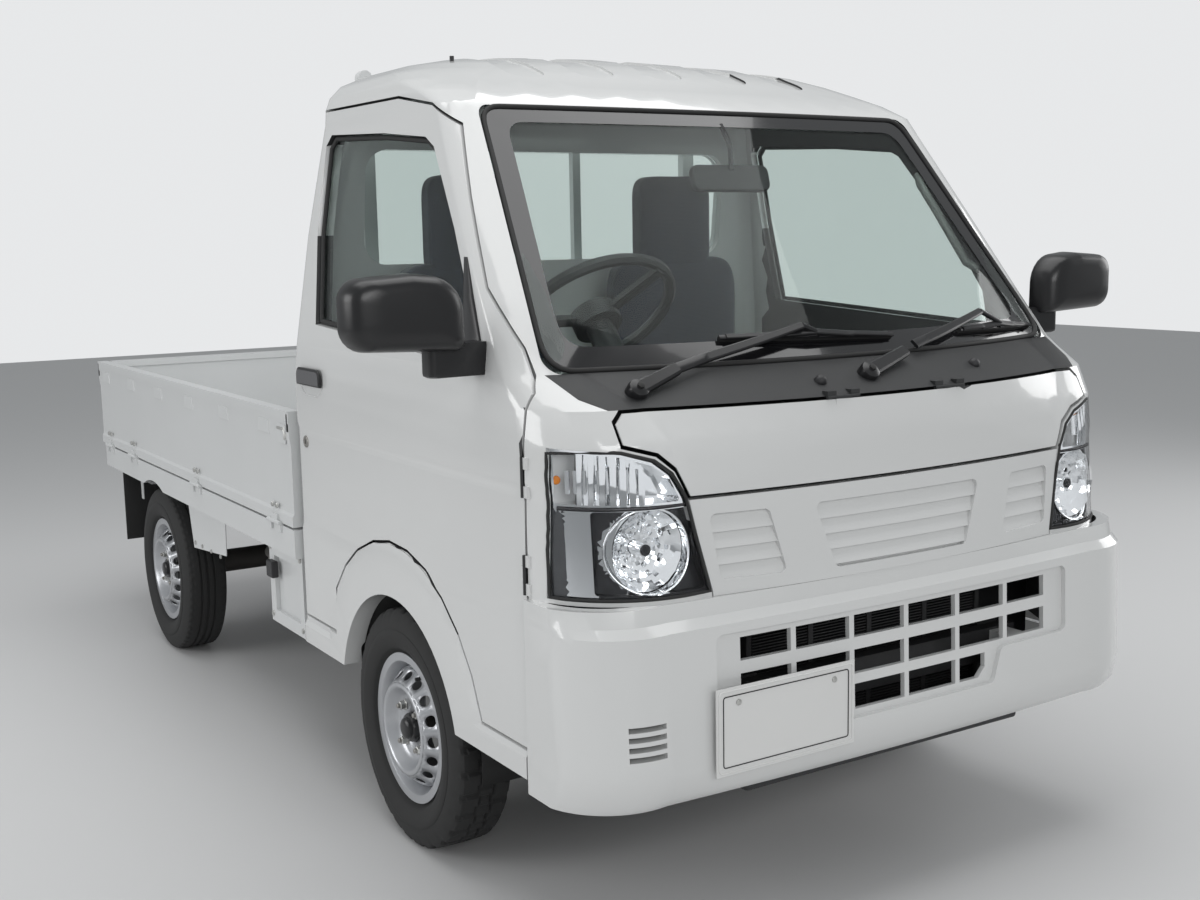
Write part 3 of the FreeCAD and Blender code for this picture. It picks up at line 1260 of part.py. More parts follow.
rear_prism = prism(rear_glass_outline(gap), vector(0, 1, 0), 260)
keep("rear_window", feature("RearWindow", layer(screen_rows, 16, 16 + size("pane")).common(rear_prism)))

# ---------------------------------------------------------------- small outside pieces

antenna_parts = [
    rod("AntennaBase", "z", "17", "z_roof - 66", "z_roof - 46", ("-470", "front + 985")),
    rod("AntennaStub", "z", "5", "z_roof - 50", "z_roof - 20", ("-470", "front + 985")),
]
keep("antenna", cut("Antenna", fuse("AntennaWhole", antenna_parts), [feature("RoofTool", skin_outer)]))

lamp = box("TailLamp", ("-side + 60", "-side + 190"), ("tail - 44", "tail - 18"), ("bed_under - 170", "bed_under - 90"))
lamps = fuse("TailLamps", [lamp, mirrored("TailLampLeft", lamp),
                           box("LampBar", ("-side + 60", "side - 60"), ("tail - 60 + seat_gap", "tail - 44"), ("bed_under - 160", "bed_under - 80 - seat_gap"))])
keep("tail_lamps", lamps)

flap_parts = []
for sign in (-1, 1):
    low, high = ("wheel_x - 70", "side - 6") if sign > 0 else ("-side + 6", "-wheel_x + 70")
    inside = ("wheel_x - 70", "side - side_recess - wall - 2") if sign > 0 else ("-side + side_recess + wall + 2", "-wheel_x + 70")
    flap_parts.append(box(f"RearFlap{sign + 2}", (low, high), ("rear_axle + arch_radius + 110", "rear_axle + arch_radius + 116"), ("300", "bed_under - 80 - seat_gap")))
    flap_parts.append(box(f"FrontFlap{sign + 2}", inside, ("front_axle + arch_radius + 4", "front_axle + arch_radius + 10"), ("sill_height - 60", "deck_height - floor_plate - seat_gap")))
keep("mud_flaps", fuse("MudFlaps", flap_parts))


def wiper(x_pivot, x_tip, rise):
    """Arm and blade lying along the foot of the windscreen."""
    z0, z1 = size("z_cowl") - 26, size("z_cowl") + rise
    front = size("front") - 50
    outline = [vector(x_pivot, front, z0 - 9), vector(x_tip, front, z1 - 7), vector(x_tip, front, z1 + 7),
               vector(x_pivot, front, z0 + 15)]
    strip = face(outline).extrude(vector(0, 900, 0))
    rows = rows_between("z_lid", "z_screen")
    band = Part.makeLoft([plan_wire(s, -16) for s in rows], True, True).cut(
        Part.makeLoft([plan_wire(s, -size("seat_gap")) for s in rows], True, True))
    return band.common(strip)


wipers = [wiper(-470, 30, 62), wiper(50, 520, 62)]
keep("wipers", feature("Wipers", Part.makeCompound([max(w.Solids, key=lambda solid: solid.Volume) for w in wipers])))

# ---------------------------------------------------------------- check and write

doc.recompute()
for made in doc.Objects:
    if "Invalid" in made.State or "Error" in made.State:
        raise RuntimeError(f"{made.Label} did not recompute: {made.State}")
for made in sub_parts:
    if made.Shape.isNull() or not made.Shape.isValid() or not made.Shape.Solids:
        raise RuntimeError(f"{made.Label} has no valid shape")

os.makedirs("parts", exist_ok=True)
for made in sub_parts:
    made.Shape.exportStep(f"parts/{made.Label}.step")
    print(made.Label, len(made.Shape.Solids), round(made.Shape.Volume / 1e6, 3))
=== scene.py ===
import json
import math

import bmesh
import bpy
from mathutils import Matrix, Vector, noise
from mathutils.bvhtree import BVHTree


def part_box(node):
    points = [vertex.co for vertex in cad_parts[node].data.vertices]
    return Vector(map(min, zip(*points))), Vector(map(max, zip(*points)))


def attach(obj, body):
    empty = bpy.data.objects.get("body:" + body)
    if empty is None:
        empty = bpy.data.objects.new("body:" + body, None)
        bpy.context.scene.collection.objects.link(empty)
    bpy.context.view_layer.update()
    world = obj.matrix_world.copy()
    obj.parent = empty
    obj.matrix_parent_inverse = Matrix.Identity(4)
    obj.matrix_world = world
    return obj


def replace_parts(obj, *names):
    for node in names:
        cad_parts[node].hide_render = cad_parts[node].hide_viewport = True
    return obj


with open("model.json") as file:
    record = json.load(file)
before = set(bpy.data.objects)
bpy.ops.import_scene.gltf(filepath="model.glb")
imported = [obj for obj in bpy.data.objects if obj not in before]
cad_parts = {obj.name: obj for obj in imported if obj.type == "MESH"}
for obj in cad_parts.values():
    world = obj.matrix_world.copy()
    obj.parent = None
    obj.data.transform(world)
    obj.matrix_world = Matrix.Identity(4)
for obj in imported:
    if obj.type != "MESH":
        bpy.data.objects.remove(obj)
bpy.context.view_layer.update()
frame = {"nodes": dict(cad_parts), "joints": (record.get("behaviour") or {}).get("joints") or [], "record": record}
NODES = frame["nodes"]
scene = bpy.context.scene

# ---------------- shader nodes


def link(name, data):
    """A new object in the scene."""
    piece = bpy.data.objects.new(name, data)
    scene.collection.objects.link(piece)
    return piece


def fill(made, **inputs):
    """Set a node's inputs by their names, with underscores for spaces."""
    for key, amount in inputs.items():
        made.inputs[key.replace("_", " ")].default_value = amount
    return made


def node(tree, kind, **inputs):
    """A new shader node with some of its inputs set."""
    return fill(tree.nodes.new(kind), **inputs)


def new_shader(name):
    """A new material, its node tree and its shader."""
    made = bpy.data.materials.new(name)
    made.use_nodes = True
    return made, made.node_tree, made.node_tree.nodes["Principled BSDF"]


def add_bump(tree, shader, height, strength, distance):
    """Let a height raise the surface."""
    bump = node(tree, "ShaderNodeBump", Strength=strength, Distance=distance)
    tree.links.new(height, bump.inputs["Height"])
    tree.links.new(bump.outputs["Normal"], shader.inputs["Normal"])


COLOR_A, COLOR_B, COLOR_RESULT = 6, 7, 2  # colour sockets of a Mix node


def add_tint(tree, shader, share, color, low, high):
    """Let the base colour run between two multiples of a colour."""
    tint = tree.nodes.new("ShaderNodeMix")
    tint.data_type = "RGBA"
    tint.inputs[COLOR_A].default_value = (*[c * low for c in color], 1)
    tint.inputs[COLOR_B].default_value = (*[min(1.0, c * high) for c in color], 1)
    tree.links.new(share, tint.inputs[0])
    tree.links.new(tint.outputs[COLOR_RESULT], shader.inputs["Base Color"])


def add_gloss(tree, shader, share, low, high):
    """Let the roughness run between two values."""
    gloss = node(tree, "ShaderNodeMapRange", To_Min=low, To_Max=high)
    tree.links.new(share, gloss.inputs["Value"])
    tree.links.new(gloss.outputs[0], shader.inputs["Roughness"])


# ---------------- stage, light and camera

FLOOR_HALF = 14.0
FLOOR_GREY = 0.62


def build_floor():
    """A wide pale sheet with a fine grain."""
    mesh = bpy.data.meshes.new("floor")
    corners = [(x * FLOOR_HALF, y * FLOOR_HALF, 0) for x, y in ((-1, -1), (1, -1), (1, 1), (-1, 1))]
    mesh.from_pydata(corners, [], [(0, 1, 2, 3)])
    pale, tree, shader = new_shader("floor")
    fill(shader, Base_Color=(FLOOR_GREY, FLOOR_GREY, FLOOR_GREY, 1), Roughness=0.55)
    grain = node(tree, "ShaderNodeTexNoise", Scale=160.0, Detail=4.0)
    add_bump(tree, shader, grain.outputs["Fac"], 0.04, 0.002)
    mesh.materials.append(pale)
    link("floor", mesh)


def build_world():
    """Soft sky light, with a paler ground where the camera looks past or through the part."""
    world = bpy.data.worlds.new("studio")
    scene.world = world
    world.use_nodes = True
    tree = world.node_tree
    tree.nodes.clear()
    paths = tree.nodes.new("ShaderNodeLightPath")
    seen = tree.nodes.new("ShaderNodeMath")
    seen.operation = "MAXIMUM"
    light = node(tree, "ShaderNodeBackground", Color=(0.9, 0.93, 0.95, 1), Strength=0.42)
    shown = node(tree, "ShaderNodeBackground", Color=(0.8, 0.81, 0.82, 1), Strength=1.0)
    mix = tree.nodes.new("ShaderNodeMixShader")
    out = tree.nodes.new("ShaderNodeOutputWorld")
    for source, target in (
            (paths.outputs["Is Camera Ray"], seen.inputs[0]),
            (paths.outputs["Is Transmission Ray"], seen.inputs[1]), (seen.outputs[0],
                                                                     mix.inputs[0]), (light.outputs[0],
                                                                                      mix.inputs[1]),
            (shown.outputs[0], mix.inputs[2]), (mix.outputs[0], out.inputs[0])):
        tree.links.new(source, target)


# Lamps. Columns: name, place, aim, width, height, watts.
LAMPS = (
    ("ceiling", (0.0, -0.6, 4.6), (0.0, 0.0, 0.0), 5.0, 4.0, 120),
    ("side_left", (5.2, -1.6, 2.4), (0.0, -0.4, 0.9), 3.0, 2.4, 60),
    ("side_right", (-5.4, 0.8, 2.2), (0.0, 0.0, 0.9), 3.6, 2.2, 85),
    ("front", (-1.6, -6.2, 2.6), (0.0, -1.0, 0.8), 3.6, 1.6, 80),
)


def build_lamps():
    """Soft rectangular lamps round the part."""
    for name, place, aim, width, height, watts in LAMPS:
        data = bpy.data.lights.new(name, "AREA")
        data.shape = "RECTANGLE"
        data.size, data.size_y, data.energy = width, height, watts
        lamp = link(name, data)
        lamp.location = place
        lamp.rotation_euler = (Vector(aim) - Vector(place)).to_track_quat("-Z", "Y").to_euler()


CAMERA_PLACE = (-1.95956, -3.67255, 1.34164)
CAMERA_YAW, CAMERA_PITCH, CAMERA_ROLL = -32.189, 8.563, -1.067
FOCAL_SHARE = 1.1891  # focal length over image width


def build_camera():
    """A camera at the photograph's viewing angle."""
    yaw, pitch, roll = (math.radians(v) for v in (CAMERA_YAW, CAMERA_PITCH, CAMERA_ROLL))
    back = Vector((math.sin(yaw) * math.cos(pitch), -math.cos(yaw) * math.cos(pitch), math.sin(pitch)))
    level = Vector((math.cos(yaw), math.sin(yaw), 0))
    up = back.cross(level)
    right = level * math.cos(roll) + up * math.sin(roll)
    upper = up * math.cos(roll) - level * math.sin(roll)
    turn = Matrix((right, upper, back)).transposed().to_4x4()
    data = bpy.data.cameras.new("camera")
    data.sensor_width = 36.0
    data.lens = FOCAL_SHARE * data.sensor_width
    data.clip_end = 100
    camera = link("camera", data)
    camera.matrix_world = Matrix.Translation(CAMERA_PLACE) @ turn
    scene.camera = camera


build_floor()
build_world()
build_lamps()
build_camera()
scene.view_settings.view_transform = "Standard"

# ---------------- materials

GRAIN_DEPTH = 0.0006
GLOSS_LOW, GLOSS_HIGH = 0.82, 1.18


def material(name, color, rough, metal, coat, grain, scale, spread, cells=False):
    """A shader with fine colour and roughness variation, and a bump at the grain's scale."""
    made, tree, shader = new_shader(name)
    fill(shader, Metallic=metal, Coat_Weight=coat, Coat_Roughness=0.03)
    source = tree.nodes.new("ShaderNodeTexCoord").outputs["Object"]
    broad = node(tree, "ShaderNodeTexNoise", Scale=3.5, Detail=5.0, Roughness=0.6)
    tree.links.new(source, broad.inputs["Vector"])
    add_tint(tree, shader, broad.outputs["Fac"], color, 1 - spread, 1 + spread)
    add_gloss(tree, shader, broad.outputs["Fac"], rough * GLOSS_LOW, min(1.0, rough * GLOSS_HIGH))
    if grain:
        fine = node(tree, "ShaderNodeTexVoronoi" if cells else "ShaderNodeTexNoise", Scale=scale)
        if not cells:
            fill(fine, Detail=3.0)
        tree.links.new(source, fine.inputs["Vector"])
        add_bump(tree, shader, fine.outputs["Distance" if cells else "Fac"], grain, GRAIN_DEPTH)
    return made


def glass_material(name, color):
    """Thin automotive glass: clear to look through, with a reflecting coat."""
    made, tree, shader = new_shader(name)
    fill(shader, Base_Color=(*color, 1), Transmission_Weight=1.0, IOR=1.12, Coat_Weight=0.12,
         Coat_Roughness=0.01)
    smear = node(tree, "ShaderNodeTexNoise", Scale=9.0, Detail=4.0)
    add_gloss(tree, shader, smear.outputs["Fac"], 0.0, 0.03)
    return made


def cloth_material(name, color):
    """Woven seat cloth: crossing threads, a little fuzz and uneven dye."""
    made, tree, shader = new_shader(name)
    fill(shader, Roughness=0.92, Sheen_Weight=0.35, Sheen_Roughness=0.5, Specular_IOR_Level=0.2)
    place = tree.nodes.new("ShaderNodeTexCoord")
    crossing = tree.nodes.new("ShaderNodeMath")
    crossing.operation = "MULTIPLY"
    for number, direction in enumerate("ZX"):
        wave = node(tree, "ShaderNodeTexWave", Scale=90.0, Distortion=1.2, Detail=2.0)
        wave.bands_direction = direction
        tree.links.new(place.outputs["Object"], wave.inputs["Vector"])
        tree.links.new(wave.outputs["Fac"], crossing.inputs[number])
    add_tint(tree, shader, crossing.outputs[0], color, 0.7, 1.5)
    add_bump(tree, shader, crossing.outputs[0], 0.5, 0.0008)
    return made


# Columns: name, colour, roughness, metal, coat, bump, its scale, spread of the colour
PAINT = material("paint_white", (0.66, 0.665, 0.66), 0.16, 0, 0.7, 0.02, 420, 0.012)
PAINT_BED = material("paint_bed", (0.62, 0.63, 0.63), 0.34, 0, 0.25, 0.08, 260, 0.035)
PAINT_GUARD = material("paint_guard", (0.64, 0.65, 0.65), 0.3, 0, 0.2, 0.06, 300, 0.03)
COWL_GREY = material("cowl_plastic", (0.02, 0.021, 0.022), 0.55, 0, 0, 0.5, 900, 0.1,
                     cells=True)
BLACK_GRAIN = material("black_plastic", (0.016, 0.016, 0.018), 0.42, 0, 0, 0.5, 1000, 0.12,
                       cells=True)
BLACK_SATIN = material("black_satin", (0.012, 0.012, 0.013), 0.3, 0, 0, 0.05, 300, 0.08)
RUBBER = material("rubber", (0.018, 0.018, 0.018), 0.7, 0, 0, 0.3, 500, 0.15)
TYRE = material("tyre_rubber", (0.022, 0.022, 0.022), 0.78, 0, 0, 0.35, 350, 0.2)
RIM = material("rim_silver", (0.5, 0.51, 0.53), 0.34, 0.75, 0, 0.12, 500, 0.05)
CHASSIS = material("chassis_black", (0.02, 0.02, 0.021), 0.5, 0, 0, 0.3, 240, 0.3)
IRON = material("cast_iron", (0.09, 0.085, 0.08), 0.65, 0.6, 0, 0.6, 320, 0.3)
STEEL = material("worn_steel", (0.34, 0.33, 0.31), 0.45, 0.9, 0, 0.2, 300, 0.2)
CHROME = material("lamp_chrome", (0.86, 0.87, 0.88), 0.06, 1, 0, 0, 200, 0.01)
LAMP_RED = material("lamp_red", (0.42, 0.012, 0.012), 0.15, 0, 0.5, 0.4, 220, 0.08, cells=True)
AMBER = material("lamp_amber", (0.85, 0.26, 0.02), 0.18, 0, 0.5, 0.2, 200, 0.08)
PLATE = material("plate_face", (0.7, 0.7, 0.69), 0.3, 0, 0, 0.05, 500, 0.02)
DASH = material("dash_plastic", (0.035, 0.036, 0.04), 0.6, 0, 0, 0.5, 800, 0.12, cells=True)
TRIM_GREY = material("trim_grey", (0.2, 0.21, 0.2), 0.6, 0, 0, 0.3, 700, 0.06)
HANDLE_GREY = material("handle_grey", (0.1, 0.1, 0.105), 0.5, 0, 0, 0.3, 900, 0.06,
                       cells=True)
CLOTH = cloth_material("seat_cloth", (0.03, 0.036, 0.055))
GLASS = glass_material("glass_clear", (0.74, 0.8, 0.78))
LENS = glass_material("lamp_lens", (0.97, 0.98, 0.99))
BOLT = material("bolt_zinc", (0.55, 0.55, 0.53), 0.35, 0.9, 0, 0.1, 400, 0.08)
FRIT = material("frit_black", (0.008, 0.008, 0.009), 0.12, 0, 0.6, 0.02, 300, 0.08)
BEZEL = material("lamp_bezel", (0.05, 0.05, 0.053), 0.22, 0.6, 0, 0.04, 300, 0.08)
SMOKE = material("lamp_smoke", (0.09, 0.092, 0.096), 0.25, 0.5, 0, 0.03, 200, 0.08)
FLUTE = material("lamp_flute", (0.8, 0.81, 0.82), 0.12, 0.85, 0, 0.02, 200, 0.08)
MIRROR = material("mirror_glass", (0.8, 0.83, 0.84), 0.02, 1, 0, 0, 200, 0.01)
LINER = material("arch_liner", (0.012, 0.012, 0.012), 0.8, 0, 0, 0.6, 260, 0.3)

BY_SLOT = {
    "paint": PAINT, "black_plastic": BLACK_GRAIN, "grey_plastic": COWL_GREY, "glass": GLASS, "lens": LENS,
    "lamp_bowl": CHROME, "lamp_red": LAMP_RED, "plate": PLATE, "chassis": CHASSIS, "rim": RIM, "tyre": TYRE,
    "iron": IRON, "steel": STEEL, "seat_cloth": CLOTH, "rubber": RUBBER,
}
# The next two tables name nodes without their side
BY_NODE = {
    "bed_joists": PAINT_BED, "headboard": PAINT_BED, "side_gate": PAINT_BED, "tailgate": PAINT_BED,
    "bed_floor": PAINT_BED, "guard_frame": PAINT_GUARD, "dashboard": DASH,
}
# Widths in metres of the softened edges of pressed and moulded nodes
BEVELS = {
    "front_lid": 0.004, "grille_panel": 0.003, "front_bumper": 0.004, "cowl": 0.004, "door": 0.004,
    "mirror": 0.012, "side_gate": 0.003, "tailgate": 0.003, "guard_frame": 0.003, "headboard": 0.002,
    "dashboard": 0.012, "door_handle": 0.005, "number_plate": 0.001, "bed_floor": 0.003,
}
SLOT_OF = {row["node"]: row["material_slot"] for row in frame["record"]["subparts"]}
WELD_REACH = 0.00002


def soften(piece, width, angle):
    """Bevel the edges that turn by more than an angle."""
    bevel = piece.modifiers.new("soften", "BEVEL")
    bevel.width, bevel.segments = width, 2
    bevel.limit_method, bevel.angle_limit = "ANGLE", math.radians(angle)
    bevel.harden_normals = True


def smooth_faces(piece):
    for polygon in piece.data.polygons:
        polygon.use_smooth = True


def split_edges(piece, angle):
    """Shade a piece smooth between the edges that turn by more than an angle."""
    smooth_faces(piece)
    piece.modifiers.new("split", "EDGE_SPLIT").split_angle = math.radians(angle)


def dress_node(name, cad):
    """Give a node of the frame its material, soft edges and smooth faces."""
    kind = name.removesuffix("_left").removesuffix("_right")
    mesh = cad.data
    mesh.materials.clear()
    mesh.materials.append(BY_NODE.get(kind) or BY_SLOT[SLOT_OF[name]])
    if "custom_normal" in mesh.attributes:
        mesh.attributes.remove(mesh.attributes["custom_normal"])
    for polygon in mesh.polygons:
        polygon.material_index = 0
    cad.modifiers.new("joined", "WELD").merge_threshold = WELD_REACH
    if kind in BEVELS:
        soften(cad, BEVELS[kind], 38)
    split_edges(cad, 28)


for name, cad in NODES.items():
    dress_node(name, cad)

# ---------------- surfaces of the frame

SIDES = ((1, "left"), (-1, "right"))
TREES = {}
RAY_START = 3.0


def tree_of(name):
    """A search tree over a node's faces, to lay pieces on them."""
    if name not in TREES:
        mesh = NODES[name].data
        TREES[name] = BVHTree.FromPolygons(
            [v.co.copy() for v in mesh.vertices], [tuple(p.vertices) for p in mesh.polygons])
    return TREES[name]


def met(name, start, ahead, proud):
    """The point where a ray meets a node, moved out by proud, or None."""
    hit, normal, _, _ = tree_of(name).ray_cast(Vector(start), Vector(ahead))
    return None if hit is None else hit + normal * proud


def front_point(name, x, z, proud=0.0):
    """The point of a node's front face at (x, z)."""
    return met(name, (x, -RAY_START, z), (0, 1, 0), proud)


def side_point(name, y, z, sign, proud=0.0):
    """The point of a node's outer face at (y, z)."""
    return met(name, (sign * RAY_START, y, z), (-sign, 0, 0), proud)


def found(spots):
    """The spots that a ray met."""
    return [spot for spot in spots if spot is not None]


# ---------------- making pieces


def finish_piece(piece, shade, body="truck", smooth=35):
    """Give a new piece its material, smooth shading between its sharp edges and the body that it rides."""
    piece.data.materials.append(shade)
    if piece.type == "MESH" and smooth:
        split_edges(piece, smooth)
    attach(piece, body)
    return piece


def from_bmesh(name, shape, shade, body="truck", smooth=35):
    """A piece from a finished shape."""
    bmesh.ops.recalc_face_normals(shape, faces=shape.faces)
    mesh = bpy.data.meshes.new(name)
    shape.to_mesh(mesh)
    shape.free()
    return finish_piece(link(name, mesh), shade, body, smooth)


def tube(name, points, radius, shade, body="truck", cyclic=False, resolution=3):
    """A round bead along points."""
    curve = bpy.data.curves.new(name, "CURVE")
    curve.dimensions = "3D"
    curve.bevel_depth = radius
    curve.bevel_resolution = resolution
    curve.use_fill_caps = True
    line = curve.splines.new("POLY")
    line.points.add(len(points) - 1)
    for spot, point in zip(line.points, points):
        spot.co = (*point, 1)
    line.use_cyclic_u = cyclic
    return finish_piece(link(name, curve), shade, body)


def dense(points, step=0.02):
    """More points along a closed line, a step apart."""
    filled = []
    for number, point in enumerate(points):
        after = points[(number + 1) % len(points)]
        count = max(1, int((after - point).length / step))
        filled += [point.lerp(after, part / count) for part in range(count)]
    return filled


def rounded_line(corners, radius, steps=6):
    """A closed line in a plane with its corners turned on arcs."""
    corners = [Vector(c) for c in corners]
    line = []
    for number, corner in enumerate(corners):
        before = (corners[number - 1] - corner).normalized()
        after = (corners[(number + 1) % len(corners)] - corner).normalized()
        half = before.angle(after) / 2
        reach = min(radius / math.tan(half), 0.49 * (corners[number - 1] - corner).length)
        start, end = corner + before * reach, corner + after * reach
        for part in range(steps + 1):
            t = part / steps
            line.append(start.lerp(corner, t).lerp(corner.lerp(end, t), t))
    return line


def corner_line(corners, steps=7):
    """A closed outline of (a, b) corners, each rounded by its own radius."""
    line = []
    for number, (a, b, radius) in enumerate(corners):
        here = Vector((a, b))
        before = (Vector(corners[number - 1][:2]) - here).normalized()
        after = (Vector(corners[(number + 1) % len(corners)][:2]) - here).normalized()
        half = before.angle(after) / 2
        centre = here + (before + after).normalized() * radius / math.sin(half)
        start, end = here + before * radius / math.tan(half), here + after * radius / math.tan(half)
        for step in range(steps + 1):
            spoke = (start - centre).lerp(end - centre, step / steps).normalized()
            line.append(centre + spoke * radius)
    return line


def upright(x, pairs):
    """Points of a plane across X, from (y, z) pairs."""
    return [(x, y, z) for y, z in pairs]


def slab(name, corners, thickness, edge, along, shade, body="truck"):
    """A plate from a closed line of points, thickened along a direction, with softened edges."""
    shape = bmesh.new()
    base = shape.faces.new([shape.verts.new(c) for c in corners])
    base.normal_update()
    made = bmesh.ops.extrude_face_region(shape, geom=[base])
    moved = [v for v in made["geom"] if isinstance(v, bmesh.types.BMVert)]
    bmesh.ops.translate(shape, vec=Vector(along) * thickness, verts=moved)
    piece = from_bmesh(name, shape, shade, body, smooth=None)
    soften(piece, edge, 30)
    smooth_faces(piece)
    return piece


def block(name, low, high, edge, shade, body="truck"):
    """A box between two corners, its edges softened."""
    (x0, y0, z0), (x1, y1, z1) = low, high
    return slab(name, [(x0, y0, z0), (x1, y0, z0), (x1, y1, z0), (x0, y1, z0)], z1 - z0, edge, (0, 0, 1),
                shade, body)


def turned(name, profile, place, axis, shade, body="truck", steps=32, smooth=35):
    """A piece turned about an axis through a place. The profile holds (along, radius)."""
    shape = bmesh.new()
    turn = Vector((0, 0, 1)).rotation_difference(Vector(axis)).to_matrix()
    rings = []
    for along, radius in profile:
        angles = [math.tau * n / steps for n in range(steps if radius else 1)]
        rings.append([shape.verts.new(Vector(place) + turn @ Vector((
            radius * math.cos(angle), radius * math.sin(angle), along))) for angle in angles])
    for lower, upper in zip(rings, rings[1:]):
        for n in range(steps):
            m = (n + 1) % steps
            spots = ((lower, n), (lower, m), (upper, m), (upper, n))
            corners = list(dict.fromkeys(ring[k % len(ring)] for ring, k in spots))
            if len(corners) > 2:
                shape.faces.new(corners)
    return from_bmesh(name, shape, shade, body, smooth)


def new_rows(shape, lines):
    """Rows of vertices, one for each line of points."""
    return [[shape.verts.new(point) for point in line] for line in lines]


def join_rows(shape, rows, closed=False, around=True):
    """Faces between rows of vertices. Closed joins the last row to the first, around each row's ends."""
    for low, high in zip(rows, rows[1:] + rows[:1] if closed else rows[1:]):
        for n in range(len(low) if around else len(low) - 1):
            after = (n + 1) % len(low)
            shape.faces.new((low[n], low[after], high[after], high[n]))


def lofted(name, rings, shade, body="truck", smooth=40):
    """A closed piece through rings of points that all have the same count."""
    shape = bmesh.new()
    rows = new_rows(shape, rings)
    join_rows(shape, rows)
    shape.faces.new(rows[0][::-1])
    shape.faces.new(rows[-1])
    return from_bmesh(name, shape, shade, body, smooth)


# ---------------- named places, from the frame

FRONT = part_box("front_bumper")[0].y
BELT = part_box("windscreen")[0].z
SCREEN_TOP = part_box("windscreen")[1].z
AXLES = {"front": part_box("tyre_front_left"), "rear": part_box("tyre_rear_left")}
TYRE_RADIUS = AXLES["front"][1].z / 2
AXLE_Y = {end: (low.y + high.y) / 2 for end, (low, high) in AXLES.items()}
WHEEL_X = (AXLES["front"][0].x + AXLES["front"][1].x) / 2
HALF_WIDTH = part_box("cab_shell")[1].x
BED_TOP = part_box("side_gate_right")[1].z
BED_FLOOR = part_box("bed_floor")[1].z
LAMP = "headlamp_lens_left"
LAMP_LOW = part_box(LAMP)[0].z

# ---------------- glass, its black edge and seals

TOP_NARROWING = 0.084
FRIT_INNER = (0.925, 0.86)  # width and height of the band's inner edge, as shares of the outer edge's


def screen_outline(inset):
    """The windscreen's outline seen from the front, moved in by inset."""
    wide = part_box("windscreen")[1].x
    low_half, high_half = wide - inset, wide - TOP_NARROWING - inset
    low_z, high_z = BELT + inset, SCREEN_TOP - inset
    return rounded_line([(low_half, 0, low_z), (high_half, 0, high_z), (-high_half, 0, high_z),
                         (-low_half, 0, low_z)], 0.05)


def build_screen_edge():
    """The black band on the windscreen's edge, and the seal round it."""
    middle = (BELT + SCREEN_TOP) / 2 + 0.03
    pairs = []
    for point in dense(screen_outline(0.004)):
        outer = front_point("windscreen", point.x, point.z, 0.0006)
        inner_z = middle + (point.z - middle) * FRIT_INNER[1]
        inner = front_point("windscreen", point.x * FRIT_INNER[0], inner_z, 0.0006)
        if outer is not None and inner is not None:
            pairs.append((outer, inner))
    shape = bmesh.new()
    join_rows(shape, new_rows(shape, zip(*pairs)))
    from_bmesh("windscreen_frit", shape, FRIT, smooth=60)
    seal = found(front_point("windscreen", point.x, point.z, 0.001) for point in dense(screen_outline(0.003)))
    tube("windscreen_seal", seal, 0.0055, RUBBER, cyclic=True)


def build_door_seal(sign, side):
    """A rubber seal round the door's window opening."""
    glass = f"door_glass_{side}"
    low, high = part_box(glass)
    middle = (low + high) / 2
    outline = hull_outline([(v.co.y, v.co.z) for v in NODES[glass].data.vertices])
    line = []
    for point in dense(outline):
        y, z = point.y + (middle.y - point.y) * 0.02, point.z + (middle.z - point.z) * 0.03
        line.append(side_point(glass, y, z, sign, 0.002))
    tube(f"window_seal_{side}", found(line), 0.006, RUBBER, f"door_{side}", cyclic=True)


def hull_outline(pairs):
    """The convex outline of (y, z) pairs."""
    pairs = sorted({(round(a, 5), round(b, 5)) for a, b in pairs})

    def half(points):
        chain = []
        for p in points:
            while len(chain) > 1 and ((chain[-1][0] - chain[-2][0]) * (p[1] - chain[-2][1])
                                      - (chain[-1][1] - chain[-2][1]) * (p[0] - chain[-2][0])) <= 0:
                chain.pop()
            chain.append(p)
        return chain[:-1]

    return [Vector(spot) for spot in upright(0, half(pairs) + half(pairs[::-1]))]


build_screen_edge()
for sign, side in SIDES:
    build_door_seal(sign, side)

# ---------------- tyres

TREAD_HALF = 0.0505
GROOVE, GROOVE_HALF_WIDTH = 0.0065, 0.003
LUGS, RIB_CUTS = 30, 60  # cuts round a front and a rear tyre
LUG_CUT = 0.0025
BEAD_RADIUS = 0.1528
TREAD_EDGE, SHOULDER = 0.006, 0.02  # depths below the crown of the tread and of the shoulder


def tyre_profile():
    """Half section of the carcass as (across, radius), from the outer bead to the tread's middle."""
    bead, top, wide = BEAD_RADIUS, TYRE_RADIUS, (AXLES["front"][1].x - AXLES["front"][0].x) / 2
    side = [(0.0507, bead), (0.0507, bead + 0.018), (0.0565, bead + 0.0235), (0.06, bead + 0.025),
            (0.064, bead + 0.0285), (0.069, bead + 0.04), (wide - 0.0008, bead + 0.053),
            (wide, bead + 0.058), (wide - 0.001, bead + 0.066), (wide - 0.0025, bead + 0.069),
            (wide - 0.0032, bead + 0.069), (wide - 0.0034, bead + 0.078), (wide - 0.006, bead + 0.09),
            (wide - 0.01, top - 0.015), (wide - 0.0135, top - 0.007), (wide - 0.019, top - 0.002)]
    count = 18
    tread = [(TREAD_HALF * (1 - n / count), top - 0.0016 * (1 - n / count) ** 2) for n in range(count + 1)]
    return side + tread


